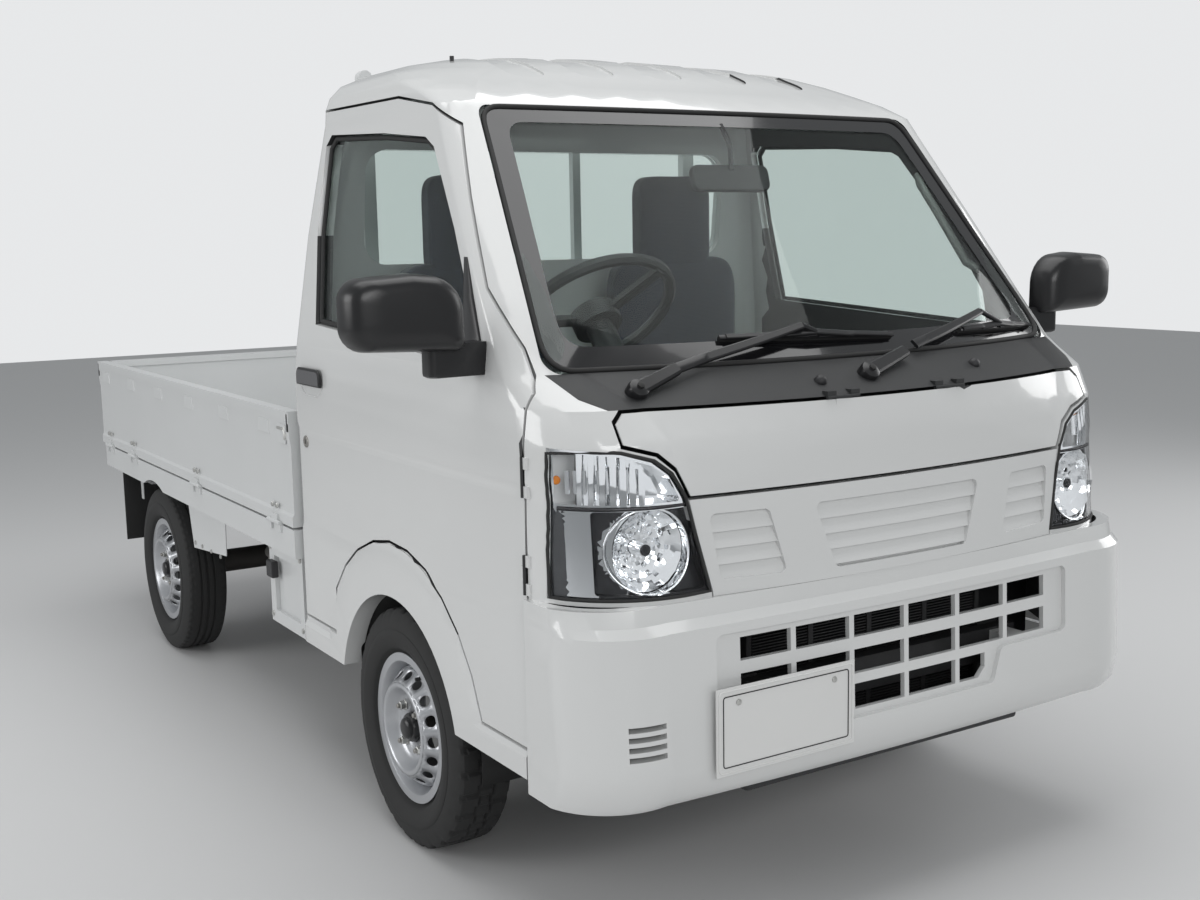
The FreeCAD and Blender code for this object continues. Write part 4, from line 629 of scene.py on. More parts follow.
def groove_depth(front, across, turn, steps):
    """How deep the tread is cut at a place. Front tyres have lugs, rear ones ribs."""
    share = abs(across) / TREAD_HALF
    if front:
        pitch = (turn * LUGS / steps) % 1.0
        shift = 0.0028 * (1 if pitch < 0.5 else -1)
        if abs(abs(across) - 0.0165 - shift) < GROOVE_HALF_WIDTH:
            return GROOVE
        lug = (pitch + (0.5 if across > 0 else 0.0) + share * 0.12) % 1.0
        if share > 0.42 and lug < 0.24:
            return GROOVE * min(1.0, 1.15 - 0.35 * share)
        if share < 0.3 and (pitch + 0.2) % 0.5 < 0.1:
            return GROOVE * 0.6
        return 0.0
    if abs(across) < GROOVE_HALF_WIDTH or abs(abs(across) - 0.0215) < GROOVE_HALF_WIDTH:
        return GROOVE
    if share > 0.86 and (turn * RIB_CUTS / steps) % 1.0 < 0.3:
        return GROOVE * 0.35
    return 0.0


def build_tyre(node_name, body, front, place, axis_x=True, steps=300):
    """A tyre with its tread about an axle along X, or about an upright axis."""
    half = tyre_profile()
    profile = half + [(-a, r) for a, r in reversed(half[:-1])]
    rings = []
    for turn in range(steps):
        angle = math.tau * turn / steps
        ring = []
        for across, radius in profile:
            lug = (turn * LUGS / steps + (0.5 if across > 0 else 0)) % 1.0
            reach = radius
            if radius > TYRE_RADIUS - TREAD_EDGE:
                reach -= groove_depth(front, across, turn, steps)
            elif radius > TYRE_RADIUS - SHOULDER and front and lug < 0.2:
                reach -= LUG_CUT
            ring.append(Vector((across, reach * math.sin(angle), reach * math.cos(angle))))
        rings.append(ring)
    shape = bmesh.new()
    join_rows(shape, new_rows(shape, rings), closed=True)
    if not axis_x:
        shape.transform(Matrix.Rotation(math.radians(90), 4, "Y"))
    shape.transform(Matrix.Translation(place))
    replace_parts(from_bmesh(f"{node_name}_tread", shape, TYRE, body, smooth=32), node_name)


# ---------------- rims

NUT_CIRCLE = 0.05715
DISC_FACE = 0.042  # bolting face outboard of the wheel's middle
VENTS, VENT_SIZE = 16, 0.0125
# Pressed disc about the axle: (across, radius) from the barrel over the crest to the hub
CONE_FOOT, CONE_TOP = (0.036, 0.1315), (0.069, 0.1035)
DISC_LIP = ((0.022, 0.1345), (0.028, 0.1338), (0.033, 0.133))
DISC_BOWL = ((0.0708, 0.101), (0.0715, 0.098), (0.0708, 0.095), (0.0685, 0.0925), (0.06, 0.087),
             (0.05, 0.08), (0.044, 0.074), (DISC_FACE, 0.069), (DISC_FACE, 0.0335))
BARREL = ((0.056, 0.168), (0.0545, 0.1684), (0.0515, 0.167), (0.0512, 0.154), (0.05, 0.151),
          (0.04, 0.147), (0.018, 0.135), (0.015, 0.1324), (-0.008, 0.1324), (-0.052, 0.152),
          (-0.052, 0.168), (-0.056, 0.168), (-0.056, 0.148), (-0.01, 0.128), (0.014, 0.128),
          (0.04, 0.1425), (0.053, 0.1475), (0.0555, 0.15))
# Turned fittings: (along the axle, radius)
NUT = ((0, 0.0135), (0.003, 0.0135), (0.004, 0.0105), (0.014, 0.0098), (0.0155, 0.008), (0.016, 0))
STUD = ((0.014, 0.0055), (0.02, 0.0055), (0.0215, 0.004), (0.0215, 0))
HUB_CAP = ((-0.004, 0.0325), (0.01, 0.032), (0.014, 0.03), (0.0155, 0.024), (0.021, 0.0235),
           (0.0245, 0.02), (0.0265, 0.012), (0.027, 0))
VALVE = ((-0.012, 0.0052), (0.0, 0.005), (0.008, 0.004), (0.016, 0.0038), (0.017, 0))
VALVE_ACROSS, VALVE_RADIUS, VALVE_ANGLE = 0.046, 0.14, 2.0


def on_wheel(place, sign, across, radius, angle):
    """A point by its place along a wheel's axle, its radius and its angle."""
    return (place[0] + sign * across, place[1] + radius * math.cos(angle),
            place[2] + radius * math.sin(angle))


def ring_rows(shape, place, sign, profile, steps):
    """Rings of vertices about an axle through the corners of a profile."""
    turns = [math.tau * n / steps for n in range(steps)]
    return new_rows(shape, [[on_wheel(place, sign, *spot, turn) for turn in turns] for spot in profile])


def vented_cone(shape, place, sign, sides=32):
    """The disc's cone, with one round vent in each of its sectors."""
    (x0, r0), (x1, r1) = CONE_FOOT, CONE_TOP
    slant, sector = math.hypot(x1 - x0, r1 - r0), math.tau / VENTS
    middle = (r0 + r1) / 2
    half_u, half_v = slant / 2, sector * middle / 2

    def on_cone(number, u, v):
        share = (u + half_u) / slant
        across, radius = x0 + (x1 - x0) * share, r0 + (r1 - r0) * share
        return on_wheel(place, sign, across, radius, number * sector + v / middle)

    for number in range(VENTS):
        hole, sector_edge = [], []
        for n in range(sides):
            turn = math.tau * n / sides
            c, d = math.cos(turn), math.sin(turn)
            reach = 1 / max(abs(c), abs(d))
            hole.append(shape.verts.new(on_cone(number, VENT_SIZE * c, VENT_SIZE * d)))
            sector_edge.append(shape.verts.new(on_cone(number, half_u * c * reach, half_v * d * reach)))
        join_rows(shape, [sector_edge, hole])


def build_rim(tag, body, sign, place):
    """Barrel and pressed disc of a wheel, the disc's crest outside the rim's edge."""
    barrel = bmesh.new()
    join_rows(barrel, ring_rows(barrel, place, sign, BARREL, 96), closed=True)
    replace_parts(from_bmesh(f"rim_barrel_{tag}", barrel, RIM, body, smooth=40), f"rim_{tag}")
    disc = bmesh.new()
    join_rows(disc, ring_rows(disc, place, sign, DISC_LIP + (CONE_FOOT,), VENTS * 8))
    vented_cone(disc, place, sign)
    join_rows(disc, ring_rows(disc, place, sign, (CONE_TOP,) + DISC_BOWL, VENTS * 8))
    bmesh.ops.remove_doubles(disc, verts=disc.verts[:], dist=0.0004)
    pressed = from_bmesh(f"rim_disc_{tag}", disc, RIM, body, smooth=45)
    sheet = pressed.modifiers.new("sheet", "SOLIDIFY")
    sheet.thickness, sheet.offset = 0.0028, 0.0
    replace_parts(pressed, f"rim_{tag}")


def build_wheel_fittings(tag, body, sign, place):
    """Four nuts on studs, the black hub cap and the valve of one wheel."""
    face = DISC_FACE + 0.001
    out = (sign, 0, 0)
    for number in range(4):
        spot = on_wheel(place, sign, face, NUT_CIRCLE, math.radians(45 + 90 * number))
        turned(f"nut_{tag}_{number}", NUT, spot, out, BOLT, body, steps=6, smooth=25)
        turned(f"stud_{tag}_{number}", STUD, spot, out, STEEL, body, steps=14)
    turned(f"hub_cap_{tag}", HUB_CAP, on_wheel(place, sign, face, 0, 0), out, BLACK_SATIN, body, steps=40)
    turned(f"valve_{tag}", VALVE, on_wheel(place, sign, VALVE_ACROSS, VALVE_RADIUS, VALVE_ANGLE), out,
           RUBBER, body, steps=12)


for end in ("front", "rear"):
    for sign, side in SIDES:
        tag, body = f"{end}_{side}", f"wheel_{end}_{side}"
        place = (sign * WHEEL_X, AXLE_Y[end], TYRE_RADIUS)
        build_tyre(f"tyre_{tag}", body, end == "front", place)
        build_rim(tag, body, sign, place)
        build_wheel_fittings(tag, body, sign, place)
spare_low, spare_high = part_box("spare_tyre")
build_tyre("spare_tyre", "truck", False, (spare_low + spare_high) / 2, axis_x=False, steps=180)

# ---------------- headlamps

BOWL_X, BOWL_Z, BOWL_RADIUS = 0.562, LAMP_LOW + 0.083, 0.0755
BAND_FROM, BAND_TO = 0.652, 0.69  # the bright upright band outboard of the bowl
INDICATOR_FOOT = LAMP_LOW + 0.158
INDICATOR_BULB = (0.69, LAMP_LOW + 0.212)
BULB = ((0, 0.012), (0.012, 0.012), (0.013, 0.0085), (0.03, 0.0085), (0.036, 0.0062), (0.038, 0))
BULB_CAP = ((0.0, 0), (0.002, 0.0105), (0.012, 0.0108), (0.014, 0.0096))
AMBER_BULB = ((0.0, 0), (0.002, 0.007), (0.008, 0.0095), (0.014, 0.008), (0.022, 0.0055))
# One upright prism: (offset across, offset back)
PRISM = ((-0.005, 0.006), (-0.0025, 0.0015), (0.0, 0.0), (0.0025, 0.0015), (0.005, 0.006))


def lens_y(x, z):
    """The depth of the lens at (x, z), or None outside it."""
    spot = front_point(LAMP, x, z)
    return None if spot is None else spot.y


def shade_headlamp(side):
    """Bright bowl and band, dark bezel, by where each face of the housing lies."""
    mesh = NODES[f"headlamp_{side}"].data
    mesh.materials.append(BEZEL)
    mesh.materials.append(SMOKE)
    for polygon in mesh.polygons:
        x, z = abs(polygon.center.x), polygon.center.z
        in_bowl = math.hypot(x - BOWL_X, z - BOWL_Z) < BOWL_RADIUS + 0.002
        if z > INDICATOR_FOOT or in_bowl or BAND_FROM < x <= BAND_TO:
            polygon.material_index = 0
        else:
            polygon.material_index = 2 if x > BAND_TO else 1


def build_reflector(side, sign):
    """A bowl of many small facets in vertical steps, with a capped bulb in its middle."""
    rim_y = lens_y(BOWL_X, BOWL_Z) + 0.03
    around, rings = 40, 9
    grid = []
    for ring in range(rings + 1):
        share = ring / rings
        radius = 0.014 + (BOWL_RADIUS - 0.0145) * share
        row = []
        for n in range(around):
            angle = math.tau * n / around
            facet = 0.0022 * math.sin(angle * 7 + ring * 2.3) * math.sin(share * 3.1)
            facet += 0.0016 * ((n + ring) % 2)
            depth = 0.043 * (1 - share ** 2) - facet
            row.append((sign * (BOWL_X + radius * math.cos(angle)), rim_y + depth,
                        BOWL_Z + radius * math.sin(angle)))
        grid.append(row)
    shape = bmesh.new()
    join_rows(shape, new_rows(shape, grid))
    from_bmesh(f"reflector_{side}", shape, CHROME, smooth=8)
    turned(f"bulb_{side}", BULB, (sign * BOWL_X, rim_y + 0.044, BOWL_Z), (0, -1, 0), LENS, steps=24)
    turned(f"bulb_cap_{side}", BULB_CAP, (sign * BOWL_X, rim_y + 0.002, BOWL_Z), (0, 1, 0), BEZEL,
           steps=28)
    edge = []
    for n in range(64):
        angle = math.tau * n / 64
        x, z = BOWL_X + 0.0775 * math.cos(angle), BOWL_Z + 0.0775 * math.sin(angle)
        y = lens_y(x, max(z, LAMP_LOW + 0.007))
        if y is not None:
            edge.append((sign * x, y + 0.017, z))
    tube(f"reflector_ring_{side}", edge, 0.0026, CHROME, cyclic=True)


def build_indicator(side, sign):
    """Upright prisms behind the clear lens, with an amber bulb at the outer end."""
    low, high = LAMP_LOW + 0.19, LAMP_LOW + 0.232
    shape = bmesh.new()
    for n in range(11):
        x = 0.574 + 0.0107 * n
        tops = (high - 0.003 * step for step in range(14))
        top = next((z for z in tops if lens_y(x + 0.006, z + 0.006) is not None), low)
        ends = [(z, lens_y(x, z)) for z in (low, top)]
        if ends[0][1] is None or ends[1][1] is None or top - low < 0.008:
            continue
        join_rows(shape, new_rows(shape, [[(sign * (x + dx), y + 0.016 + dy, z) for dx, dy in PRISM]
                                          for z, y in ends]), around=False)
    from_bmesh(f"indicator_flutes_{side}", shape, FLUTE, smooth=30)
    x, z = INDICATOR_BULB
    turned(f"indicator_bulb_{side}", AMBER_BULB, (sign * x, lens_y(x, z) + 0.03, z), (0, 1, 0), AMBER,
           steps=24)


def build_lamp_gasket(side, sign):
    """The dark edge round the lens and the divider under the indicator."""
    low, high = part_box(LAMP)
    edge = [(low.x + across, LAMP_LOW + up) for across, up in (
        (0.003, 0.002), (0.0245, 0.097), (0.0435, 0.176), (0.0685, 0.221), (0.102, 0.2465), (0.16, 0.2635))]
    edge += [(high.x - 0.004, LAMP_LOW + 0.2745), (high.x - 0.0025, LAMP_LOW + 0.002)]
    line = []
    for point in dense([Vector((x, 0, z)) for x, z in edge], 0.012):
        tries = (front_point(LAMP, point.x - 0.001 * n, point.z, -0.0005) for n in range(40))
        line.append(next((spot for spot in tries if spot is not None), None))
    tube(f"lamp_gasket_{side}", mirrored(found(line), sign), 0.0034, RUBBER, cyclic=True)
    start, length = low.x + 0.046, high.x - 0.004 - low.x - 0.046
    divider = found(front_point(LAMP, start + length * n / 23, LAMP_LOW + 0.164, -0.008) for n in range(24))
    tube(f"lamp_divider_{side}", mirrored(divider, sign), 0.0042, BEZEL)


def mirrored(points, sign):
    """Points of the left side, or their mirror images on the right."""
    return [(sign * p.x, p.y, p.z) for p in points]


for sign, side in SIDES:
    shade_headlamp(side)
    build_reflector(side, sign)
    build_indicator(side, sign)
    build_lamp_gasket(side, sign)

# ---------------- nose: radiator, undertray, plate

CORE_LOW, CORE_HIGH, CORE_BACK = 0.375, 0.635, 0.135
FINS = 44
SCREW = ((0.0, 0.006), (0.0016, 0.0055), (0.0026, 0.0035), (0.0028, 0))


def add_bar(shape, size, place):
    """A box of a size about a place."""
    made = bmesh.ops.create_cube(shape, size=1.0)
    bmesh.ops.scale(shape, vec=size, verts=made["verts"])
    bmesh.ops.translate(shape, vec=place, verts=made["verts"])


def build_radiator():
    """The dark core and its fins, seen through the bumper's openings, and a black sheet behind them as painted
    shade.
    """
    y, low, high = FRONT + CORE_BACK, CORE_LOW, CORE_HIGH
    shape = bmesh.new()
    for n in range(FINS):
        add_bar(shape, (0.6, 0.022, 0.0022), (0.0, y, low + (high - low) * n / (FINS - 1)))
    for x in (-0.31, -0.155, 0.0, 0.155, 0.31):
        add_bar(shape, (0.012, 0.026, high - low + 0.03), (x, y, (low + high) / 2))
    from_bmesh("radiator_core", shape, CHASSIS, smooth=None)
    # Painted shade: a black sheet behind the core so that the bumper's openings read dark.
    block("painted_shade_backing", (-0.5, y + 0.016, low - 0.03), (0.5, y + 0.022, high + 0.03), 0.002, BLACK_SATIN)


def build_plate():
    """A blank plate with a raised rim, a border line and two screws."""
    low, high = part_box("number_plate")
    y = low.y - 0.0004
    for name, inset, corner, radius, shade in (
            ("plate_rim", 0.006, 0.009, 0.0016, PLATE), ("plate_line", 0.016, 0.006, 0.0011, BLACK_SATIN)):
        x0, x1, z0, z1 = low.x + inset, high.x - inset, low.z + inset, high.z - inset
        line = rounded_line([(x0, y, z0), (x1, y, z0), (x1, y, z1), (x0, y, z1)], corner)
        tube(name, line, radius, shade, cyclic=True)
    for n, x in enumerate((low.x + 0.051, high.x - 0.051)):
        turned(f"plate_screw_{n}", SCREW, (x, y, high.z - 0.03), (0, -1, 0), BOLT, steps=20)


def build_undertray():
    """The tray under the bumper and its two stays."""
    block("undertray", (-0.37, FRONT + 0.055, 0.296), (0.37, FRONT + 0.118, 0.345), 0.008, BLACK_GRAIN)
    for sign, side in SIDES:
        block(f"undertray_stay_{side}", (sign * 0.33 - 0.016, FRONT + 0.085, 0.34),
              (sign * 0.33 + 0.016, FRONT + 0.112, 0.428), 0.003, BLACK_GRAIN)


build_radiator()
build_plate()
build_undertray()

# ---------------- wipers and washers

# Wipers. Columns: name, then (x, z) of the pivot, the arm's knuckle and the arm's end, then of
# the blade's inner and outer ends.
WIPERS = (
    ("right", (-0.531, 1.058), (-0.437, 1.082), (-0.128, 1.139), (-0.307, 1.137), (0.112, 1.123)),
    ("left", (-0.034, 1.063), (0.117, 1.09), (0.413, 1.142), (0.33, 1.121), (0.619, 1.115)),
)
WASHERS = ((-0.157, 1.058), (0.282, 1.062))
GLASS_OUT = Vector((0, -0.72, 0.69))
PIVOT = ((-0.012, 0.021), (0.01, 0.021), (0.016, 0.019), (0.019, 0.013), (0.02, 0))
PIVOT_NUT = ((0.0, 0.007), (0.004, 0.007), (0.005, 0.005), (0.0052, 0))
WASHER = ((-0.004, 0.013), (0.004, 0.012), (0.009, 0.009), (0.012, 0.005), (0.0125, 0))


def on_front(x, z):
    """A point of the cowl or the windscreen, whichever is there."""
    return front_point("cowl" if z < BELT - 0.004 else "windscreen", x, z)


def laid_run(stops, lifts, steps):
    """Points over the glass along straight runs of (x, z) stops, at blended heights."""
    points = []
    for number in range(steps + 1):
        along = number / steps * (len(stops) - 1)
        leg = min(int(along), len(stops) - 2)
        share = along - leg
        (x0, z0), (x1, z1) = stops[leg], stops[leg + 1]
        spot = on_front(x0 + (x1 - x0) * share, z0 + (z1 - z0) * share)
        if spot is not None:
            points.append(spot + GLASS_OUT * (lifts[leg] + (lifts[leg + 1] - lifts[leg]) * share))
    return points


def bar_along(name, path, width, taper, thickness, shade):
    """A flat bar that follows a path over the glass and narrows by taper from point to point."""
    rings = []
    for n, point in enumerate(path):
        ahead = (path[min(n + 1, len(path) - 1)] - path[max(n - 1, 0)]).normalized()
        out = (GLASS_OUT - ahead * GLASS_OUT.dot(ahead)).normalized()
        across = ahead.cross(out)
        w, t = width - taper * n, thickness / 2
        rings.append([point + across * a + out * b for a, b in (
            (-w, -t), (w, -t), (w, t * 0.5), (w * 0.7, t), (-w * 0.7, t), (-w, t * 0.5))])
    lofted(name, rings, shade, smooth=30)


def build_wiper(name, pivot, knuckle, arm_end, blade_start, blade_end):
    """Pivot, arm and blade of one wiper."""
    base = on_front(*pivot)
    boss = turned(f"wiper_pivot_{name}", PIVOT, base, GLASS_OUT, BLACK_SATIN)
    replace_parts(boss, "wipers")
    turned(f"wiper_nut_{name}", PIVOT_NUT, base + GLASS_OUT * 0.02, GLASS_OUT, RUBBER,
           steps=6)
    middle = tuple((a + b) / 2 for a, b in zip(blade_start, blade_end))
    near, far = (tuple(a + (b - a) * share for a, b in zip(blade_start, blade_end)) for share in (0.27, 0.73))
    blade = (blade_start, blade_end)
    runs = {}
    # Columns: part, stops, heights over the glass, steps, half width, taper, thickness, shade
    for part, stops, lifts, steps, width, taper, thickness, shade in (
            ("head", (pivot, knuckle), (0.012, 0.02), 8, 0.015, 0.0004, 0.013, BLACK_SATIN),
            ("arm", (knuckle, arm_end), (0.021, 0.03), 24, 0.0105, 0.00013, 0.007, BLACK_SATIN),
            ("rubber", blade, (0.005, 0.005), 28, 0.003, 0, 0.009, RUBBER),
            ("backing", blade, (0.0105, 0.0105), 28, 0.005, 0, 0.003, BLACK_SATIN),
            ("bridge", (near, middle, far), (0.015, 0.024, 0.015), 16, 0.0065, 0, 0.006, BLACK_SATIN)):
        runs[part] = laid_run(stops, lifts, steps)
        bar_along(f"wiper_{part}_{name}", runs[part], width, taper, thickness, shade)
    for number, stops in enumerate(((blade_start, near, middle), (middle, far, blade_end))):
        yoke = laid_run(stops, (0.011, 0.017, 0.011), 16)
        bar_along(f"wiper_yoke_{name}_{number}", yoke[1:-1], 0.0055, 0, 0.005, BLACK_SATIN)
    bridge = runs["bridge"]
    tube(f"wiper_joint_{name}", [runs["arm"][-1], bridge[len(bridge) // 2]], 0.0055, BLACK_SATIN)


for row in WIPERS:
    build_wiper(*row)
for n, place in enumerate(WASHERS):
    turned(f"washer_{n}", WASHER, on_front(*place), GLASS_OUT, BLACK_GRAIN, steps=24)

# ---------------- cab sides

DOOR_LOCK = (-0.367, 0.856)
LOCK = ((-0.002, 0.015), (0.0015, 0.0148), (0.003, 0.013), (0.003, 0.0095), (0.0022, 0.009), (0.0022, 0))


def centred_block(name, middle, half, edge, shade, body="truck"):
    """A box from its middle and half its size."""
    middle, half = Vector(middle), Vector(half)
    block(name, middle - half, middle + half, edge, shade, body)


def build_handle(sign, side):
    """The pull in its pocket, a soft bowl under it, and the lock."""
    body = f"door_{side}"
    low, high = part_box(f"door_handle_{side}")
    outer = sign * (max(abs(low.x), abs(high.x)) - 0.003)
    for name, inset, rise, shade in (("edge", 0.0, 0.0, BLACK_SATIN), ("pull", 0.006, 0.0014, HANDLE_GREY)):
        y0, y1 = low.y + inset, high.y - inset * 0.4
        z0, z1 = low.z + inset * 0.5, high.z - inset
        top = 0.02 - inset
        line = corner_line([(y0, z0, 0.002), (y1, z0, 0.002), (y1, z1, top), (y0, z1, top)])
        face = upright(outer + sign * rise, line)
        piece = slab(f"handle_{name}_{side}", face, 0.006, 0.0008, (-sign, 0, 0), shade, body)
    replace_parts(piece, f"door_handle_{side}")
    y0, y1, z0, z1 = low.y + 0.01, high.y - 0.01, low.z - 0.024, low.z - 0.001
    bowl = ((y0, z1), (y0 + 0.006, z0 + 0.01), (y0 + 0.026, z0), (y1 - 0.03, z0), (y1 - 0.01, z0 + 0.01),
            (y1, z1))
    laid = [side_point(body, y, z, sign, 0.0002) for y, z in bowl]
    tube(f"handle_lip_{side}", dense(laid, 0.006), 0.0016, PAINT, body)
    lock = side_point(body, *DOOR_LOCK, sign)
    turned(f"door_lock_{side}", LOCK, lock, (sign, 0, 0), STEEL, body)
    centred_block(f"key_slot_{side}", (lock.x + sign * 0.0024, lock.y, lock.z), (0.0006, 0.0008, 0.0055),
                  0.0002, RUBBER, body)


# Mirror head seen from the front: (x, z) corners and each corner's radius, on the left side
MIRROR_LINE = ((0.772, 1.134, 0.016), (1.006, 1.144, 0.045), (1.006, 1.272, 0.04), (0.88, 1.281, 0.05),
               (0.775, 1.27, 0.07))
# Head from its open back to its nose: share of the depth, share of the outline's size
MIRROR_RINGS = ((0.0, 0.965), (0.04, 0.992), (0.16, 1.0), (0.45, 0.985), (0.66, 0.955), (0.81, 0.9),
                (0.91, 0.82), (0.97, 0.7), (1.0, 0.5))
# Foot from above: (x, y) of its outline and each corner's radius, then heights and insets
FOOT_LINE = ((0.718, -1.312, 0.004), (0.842, -1.326, 0.012), (0.842, -1.282, 0.012), (0.718, -1.262, 0.004))
FOOT_RINGS = ((1.088, 0.006), (1.091, 0.001), (1.096, 0.0), (1.15, 0.0))
# Sail over the window's front lower corner: height, its front and rear edge
SAIL_ROWS = ((1.088, -1.305, -1.215), (1.096, -1.314, -1.215), (1.146, -1.29, -1.215),
             (1.231, -1.243, -1.206),
             (1.305, -1.206, -1.186))
SAIL_RISE = (0.0005, 0.004, 0.0055, 0.0055, 0.0035, -0.01)
SAIL_BACK = 0.01


def build_mirror(sign, side):
    """The mirror's soft-edged head with its glass, the foot and the sail in the window's corner."""
    low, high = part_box(f"mirror_{side}")
    body = f"door_{side}"
    line = corner_line(MIRROR_LINE)
    centre = sum(line, Vector((0, 0))) / len(line)

    def across(y, scale):
        spots = [centre + (point - centre) * scale for point in line]
        return [(sign * spot.x, y, spot.y) for spot in spots]

    rings = [across(high.y + (low.y - high.y) * share, scale) for share, scale in MIRROR_RINGS]
    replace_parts(lofted(f"mirror_head_{side}", rings, BLACK_SATIN, body), f"mirror_{side}")
    slab(f"mirror_glass_{side}", across(high.y + 0.0004, 0.9), 0.0012, 0.0003, (0, 1, 0), MIRROR, body)
    rings = []
    for z, inset in FOOT_RINGS:
        inner, front, rear, inner_rear = FOOT_LINE
        outline = (inner, (front[0] - inset, front[1] + inset, front[2]),
                   (rear[0] - inset, rear[1] - inset, rear[2]), inner_rear)
        rings.append([(sign * spot.x, spot.y, z) for spot in corner_line(outline, 4)])
    lofted(f"mirror_foot_{side}", rings, BLACK_SATIN, body, smooth=35)
    rows = []
    for z, front, rear in SAIL_ROWS:
        skin = side_point(body, front - 0.016, z, sign).x
        along = (front, front + 0.001, front + 0.004, rear - 0.004, rear, rear)
        row = [(skin + sign * rise, y, z) for rise, y in zip(SAIL_RISE, along)]
        rows.append(row + [(skin - sign * SAIL_BACK, front, z)])
    lofted(f"mirror_sail_{side}", rows, BLACK_SATIN, body, smooth=30)


LINER_RADIUS, LINER_TOP = 0.306, 0.6235
LINER_INNER, LINER_INSET = 0.445, 0.052


def build_arch_liner(sign, side):
    """A dark inner arch over a front wheel."""
    rows = []
    for n in range(29):
        angle = math.radians(-8 + 196 * n / 28)
        y = AXLE_Y["front"] + LINER_RADIUS * math.cos(angle)
        z = min(TYRE_RADIUS + LINER_RADIUS * math.sin(angle), LINER_TOP)
        rows.append([(sign * x, y, z) for x in (HALF_WIDTH - LINER_INSET, LINER_INNER)])
    shape = bmesh.new()
    join_rows(shape, new_rows(shape, rows), around=False)
    piece = from_bmesh(f"arch_liner_front_{side}", shape, LINER, smooth=50)
    thick = piece.modifiers.new("thick", "SOLIDIFY")
    thick.thickness, thick.offset = 0.002, 1


for sign, side in SIDES:
    build_handle(sign, side)
    build_mirror(sign, side)
    build_arch_liner(sign, side)

# ---------------- load bed

GATE_FRONT, GATE_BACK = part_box("side_gate_right")[0].y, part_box("side_gate_right")[1].y
HINGE_PLACES = (-0.15, 0.535, 1.255, 1.567)
POCKETS, POCKET_START, POCKET_MARGIN = 5, 0.19, 0.3
LATCH = (-0.219, 0.862)
HINGE_BOLT = ((0.0, 0.0075), (0.002, 0.0075), (0.0055, 0.0062), (0.0062, 0))
SPLASH_BOLT = ((0.0, 0.0065), (0.0035, 0.006), (0.004, 0))
COVER_BOLT = ((0.0, 0.0075), (0.004, 0.007), (0.0045, 0))


def bolt(name, profile, place, sign, body):
    """A hexagon head that faces outwards."""
    turned(name, profile, place, (sign, 0, 0), BOLT, body, steps=6, smooth=25)


def build_gate(sign, side):
    """Webs between the pockets of the upper band, the latches and the hinge bolts."""
    body, x, out = f"side_gate_{side}", sign * HALF_WIDTH, (sign, 0, 0)
    z0, z1 = BED_TOP - 0.0705, BED_TOP - 0.0335
    pitch = (GATE_BACK - GATE_FRONT - POCKET_MARGIN) / POCKETS
    for n in range(POCKETS + 1):
        y = GATE_FRONT + POCKET_START + pitch * n
        web = upright(x - sign * 0.006, ((y - 0.045, z0), (y + 0.045, z0), (y + 0.038, z1), (y - 0.038, z1)))
        slab(f"gate_web_{side}_{n}", web, 0.0058, 0.0016, out, PAINT_BED, body)
    y, z = LATCH
    plate = upright(x - sign * 0.002, ((y - 0.03, z - 0.026), (y + 0.032, z - 0.026), (y + 0.032, z + 0.024),
                                       (y - 0.03, z + 0.024)))
    slab(f"gate_latch_plate_{side}", rounded_line(plate, 0.008), 0.0018, 0.0006, out, PAINT_BED, body)
    lever = upright(x - sign * 0.001, ((y + 0.024, z + 0.012), (y - 0.02, z + 0.012), (y - 0.026, z + 0.002),
                                       (y - 0.026, z - 0.014)))
    tube(f"gate_latch_lever_{side}", lever, 0.0045, BOLT, body)
    for tag, y in (("front", GATE_FRONT + 0.011), ("rear", GATE_BACK - 0.007)):
        centred_block(f"gate_catch_{tag}_{side}", (x - sign * 0.0015, y, BED_TOP - 0.029),
                      (0.0015, 0.005, 0.023), 0.001, BLACK_SATIN, body)
    for n, y in enumerate(HINGE_PLACES):
        for k, dy in enumerate((-0.016, 0.016)):
            bolt(f"hinge_bolt_{side}_{n}_{k}", HINGE_BOLT, (x - sign * 0.0005, y + dy, BED_FLOOR + 0.018),
                 sign, body)


def build_bed_side(sign, side):
    """Flat stays behind the wheel, the panel ahead of it, and the fittings behind the cab."""
    x, out = sign * HALF_WIDTH, (sign, 0, 0)
    for n, y in enumerate((1.363, 1.619)):
        stay = upright(x - sign * 0.05,
                       ((y - 0.019, 0.62), (y + 0.019, 0.62), (y + 0.012, 0.455), (y - 0.012, 0.455)))
        slab(f"bed_stay_{side}_{n}", stay, 0.0035, 0.001, out, PAINT_BED)
    splash = upright(x - sign * 0.03, ((0.742, 0.545), (0.7, 0.4), (0.38, 0.43), (0.372, 0.545)))
    slab(f"splash_panel_{side}", splash, 0.003, 0.001, out, PAINT_BED)
    for n, y in enumerate((0.43, 0.52, 0.61, 0.68)):
        bolt(f"splash_bolt_{side}_{n}", SPLASH_BOLT, (x - sign * 0.027, y, 0.42), sign, "truck")
    cover = x - sign * 0.022
    centred_block(f"cover_block_{side}", (cover + sign * 0.006, -0.0525, 0.4775), (0.01, 0.0225, 0.0225),
                  0.004, BLACK_GRAIN)
    for n, (y, z) in enumerate(((-0.252, 0.35), (-0.252, 0.535), (-0.03, 0.35), (-0.03, 0.535))):
        bolt(f"cover_bolt_{side}_{n}", COVER_BOLT, (cover, y, z), sign, "truck")


for sign, side in SIDES:
    build_gate(sign, side)
    build_bed_side(sign, side)

# ---------------- seats

SQUARENESS = 6  # power of the rounded box: higher is squarer
WAIST = 0.035
CHANNEL_REACH, CHANNEL_DEPTH = 0.06, 0.004
UNEVEN, UNEVEN_SCALE, UNEVEN_SHIFT = 0.0012, 14, Vector((0.16, 0, 0))


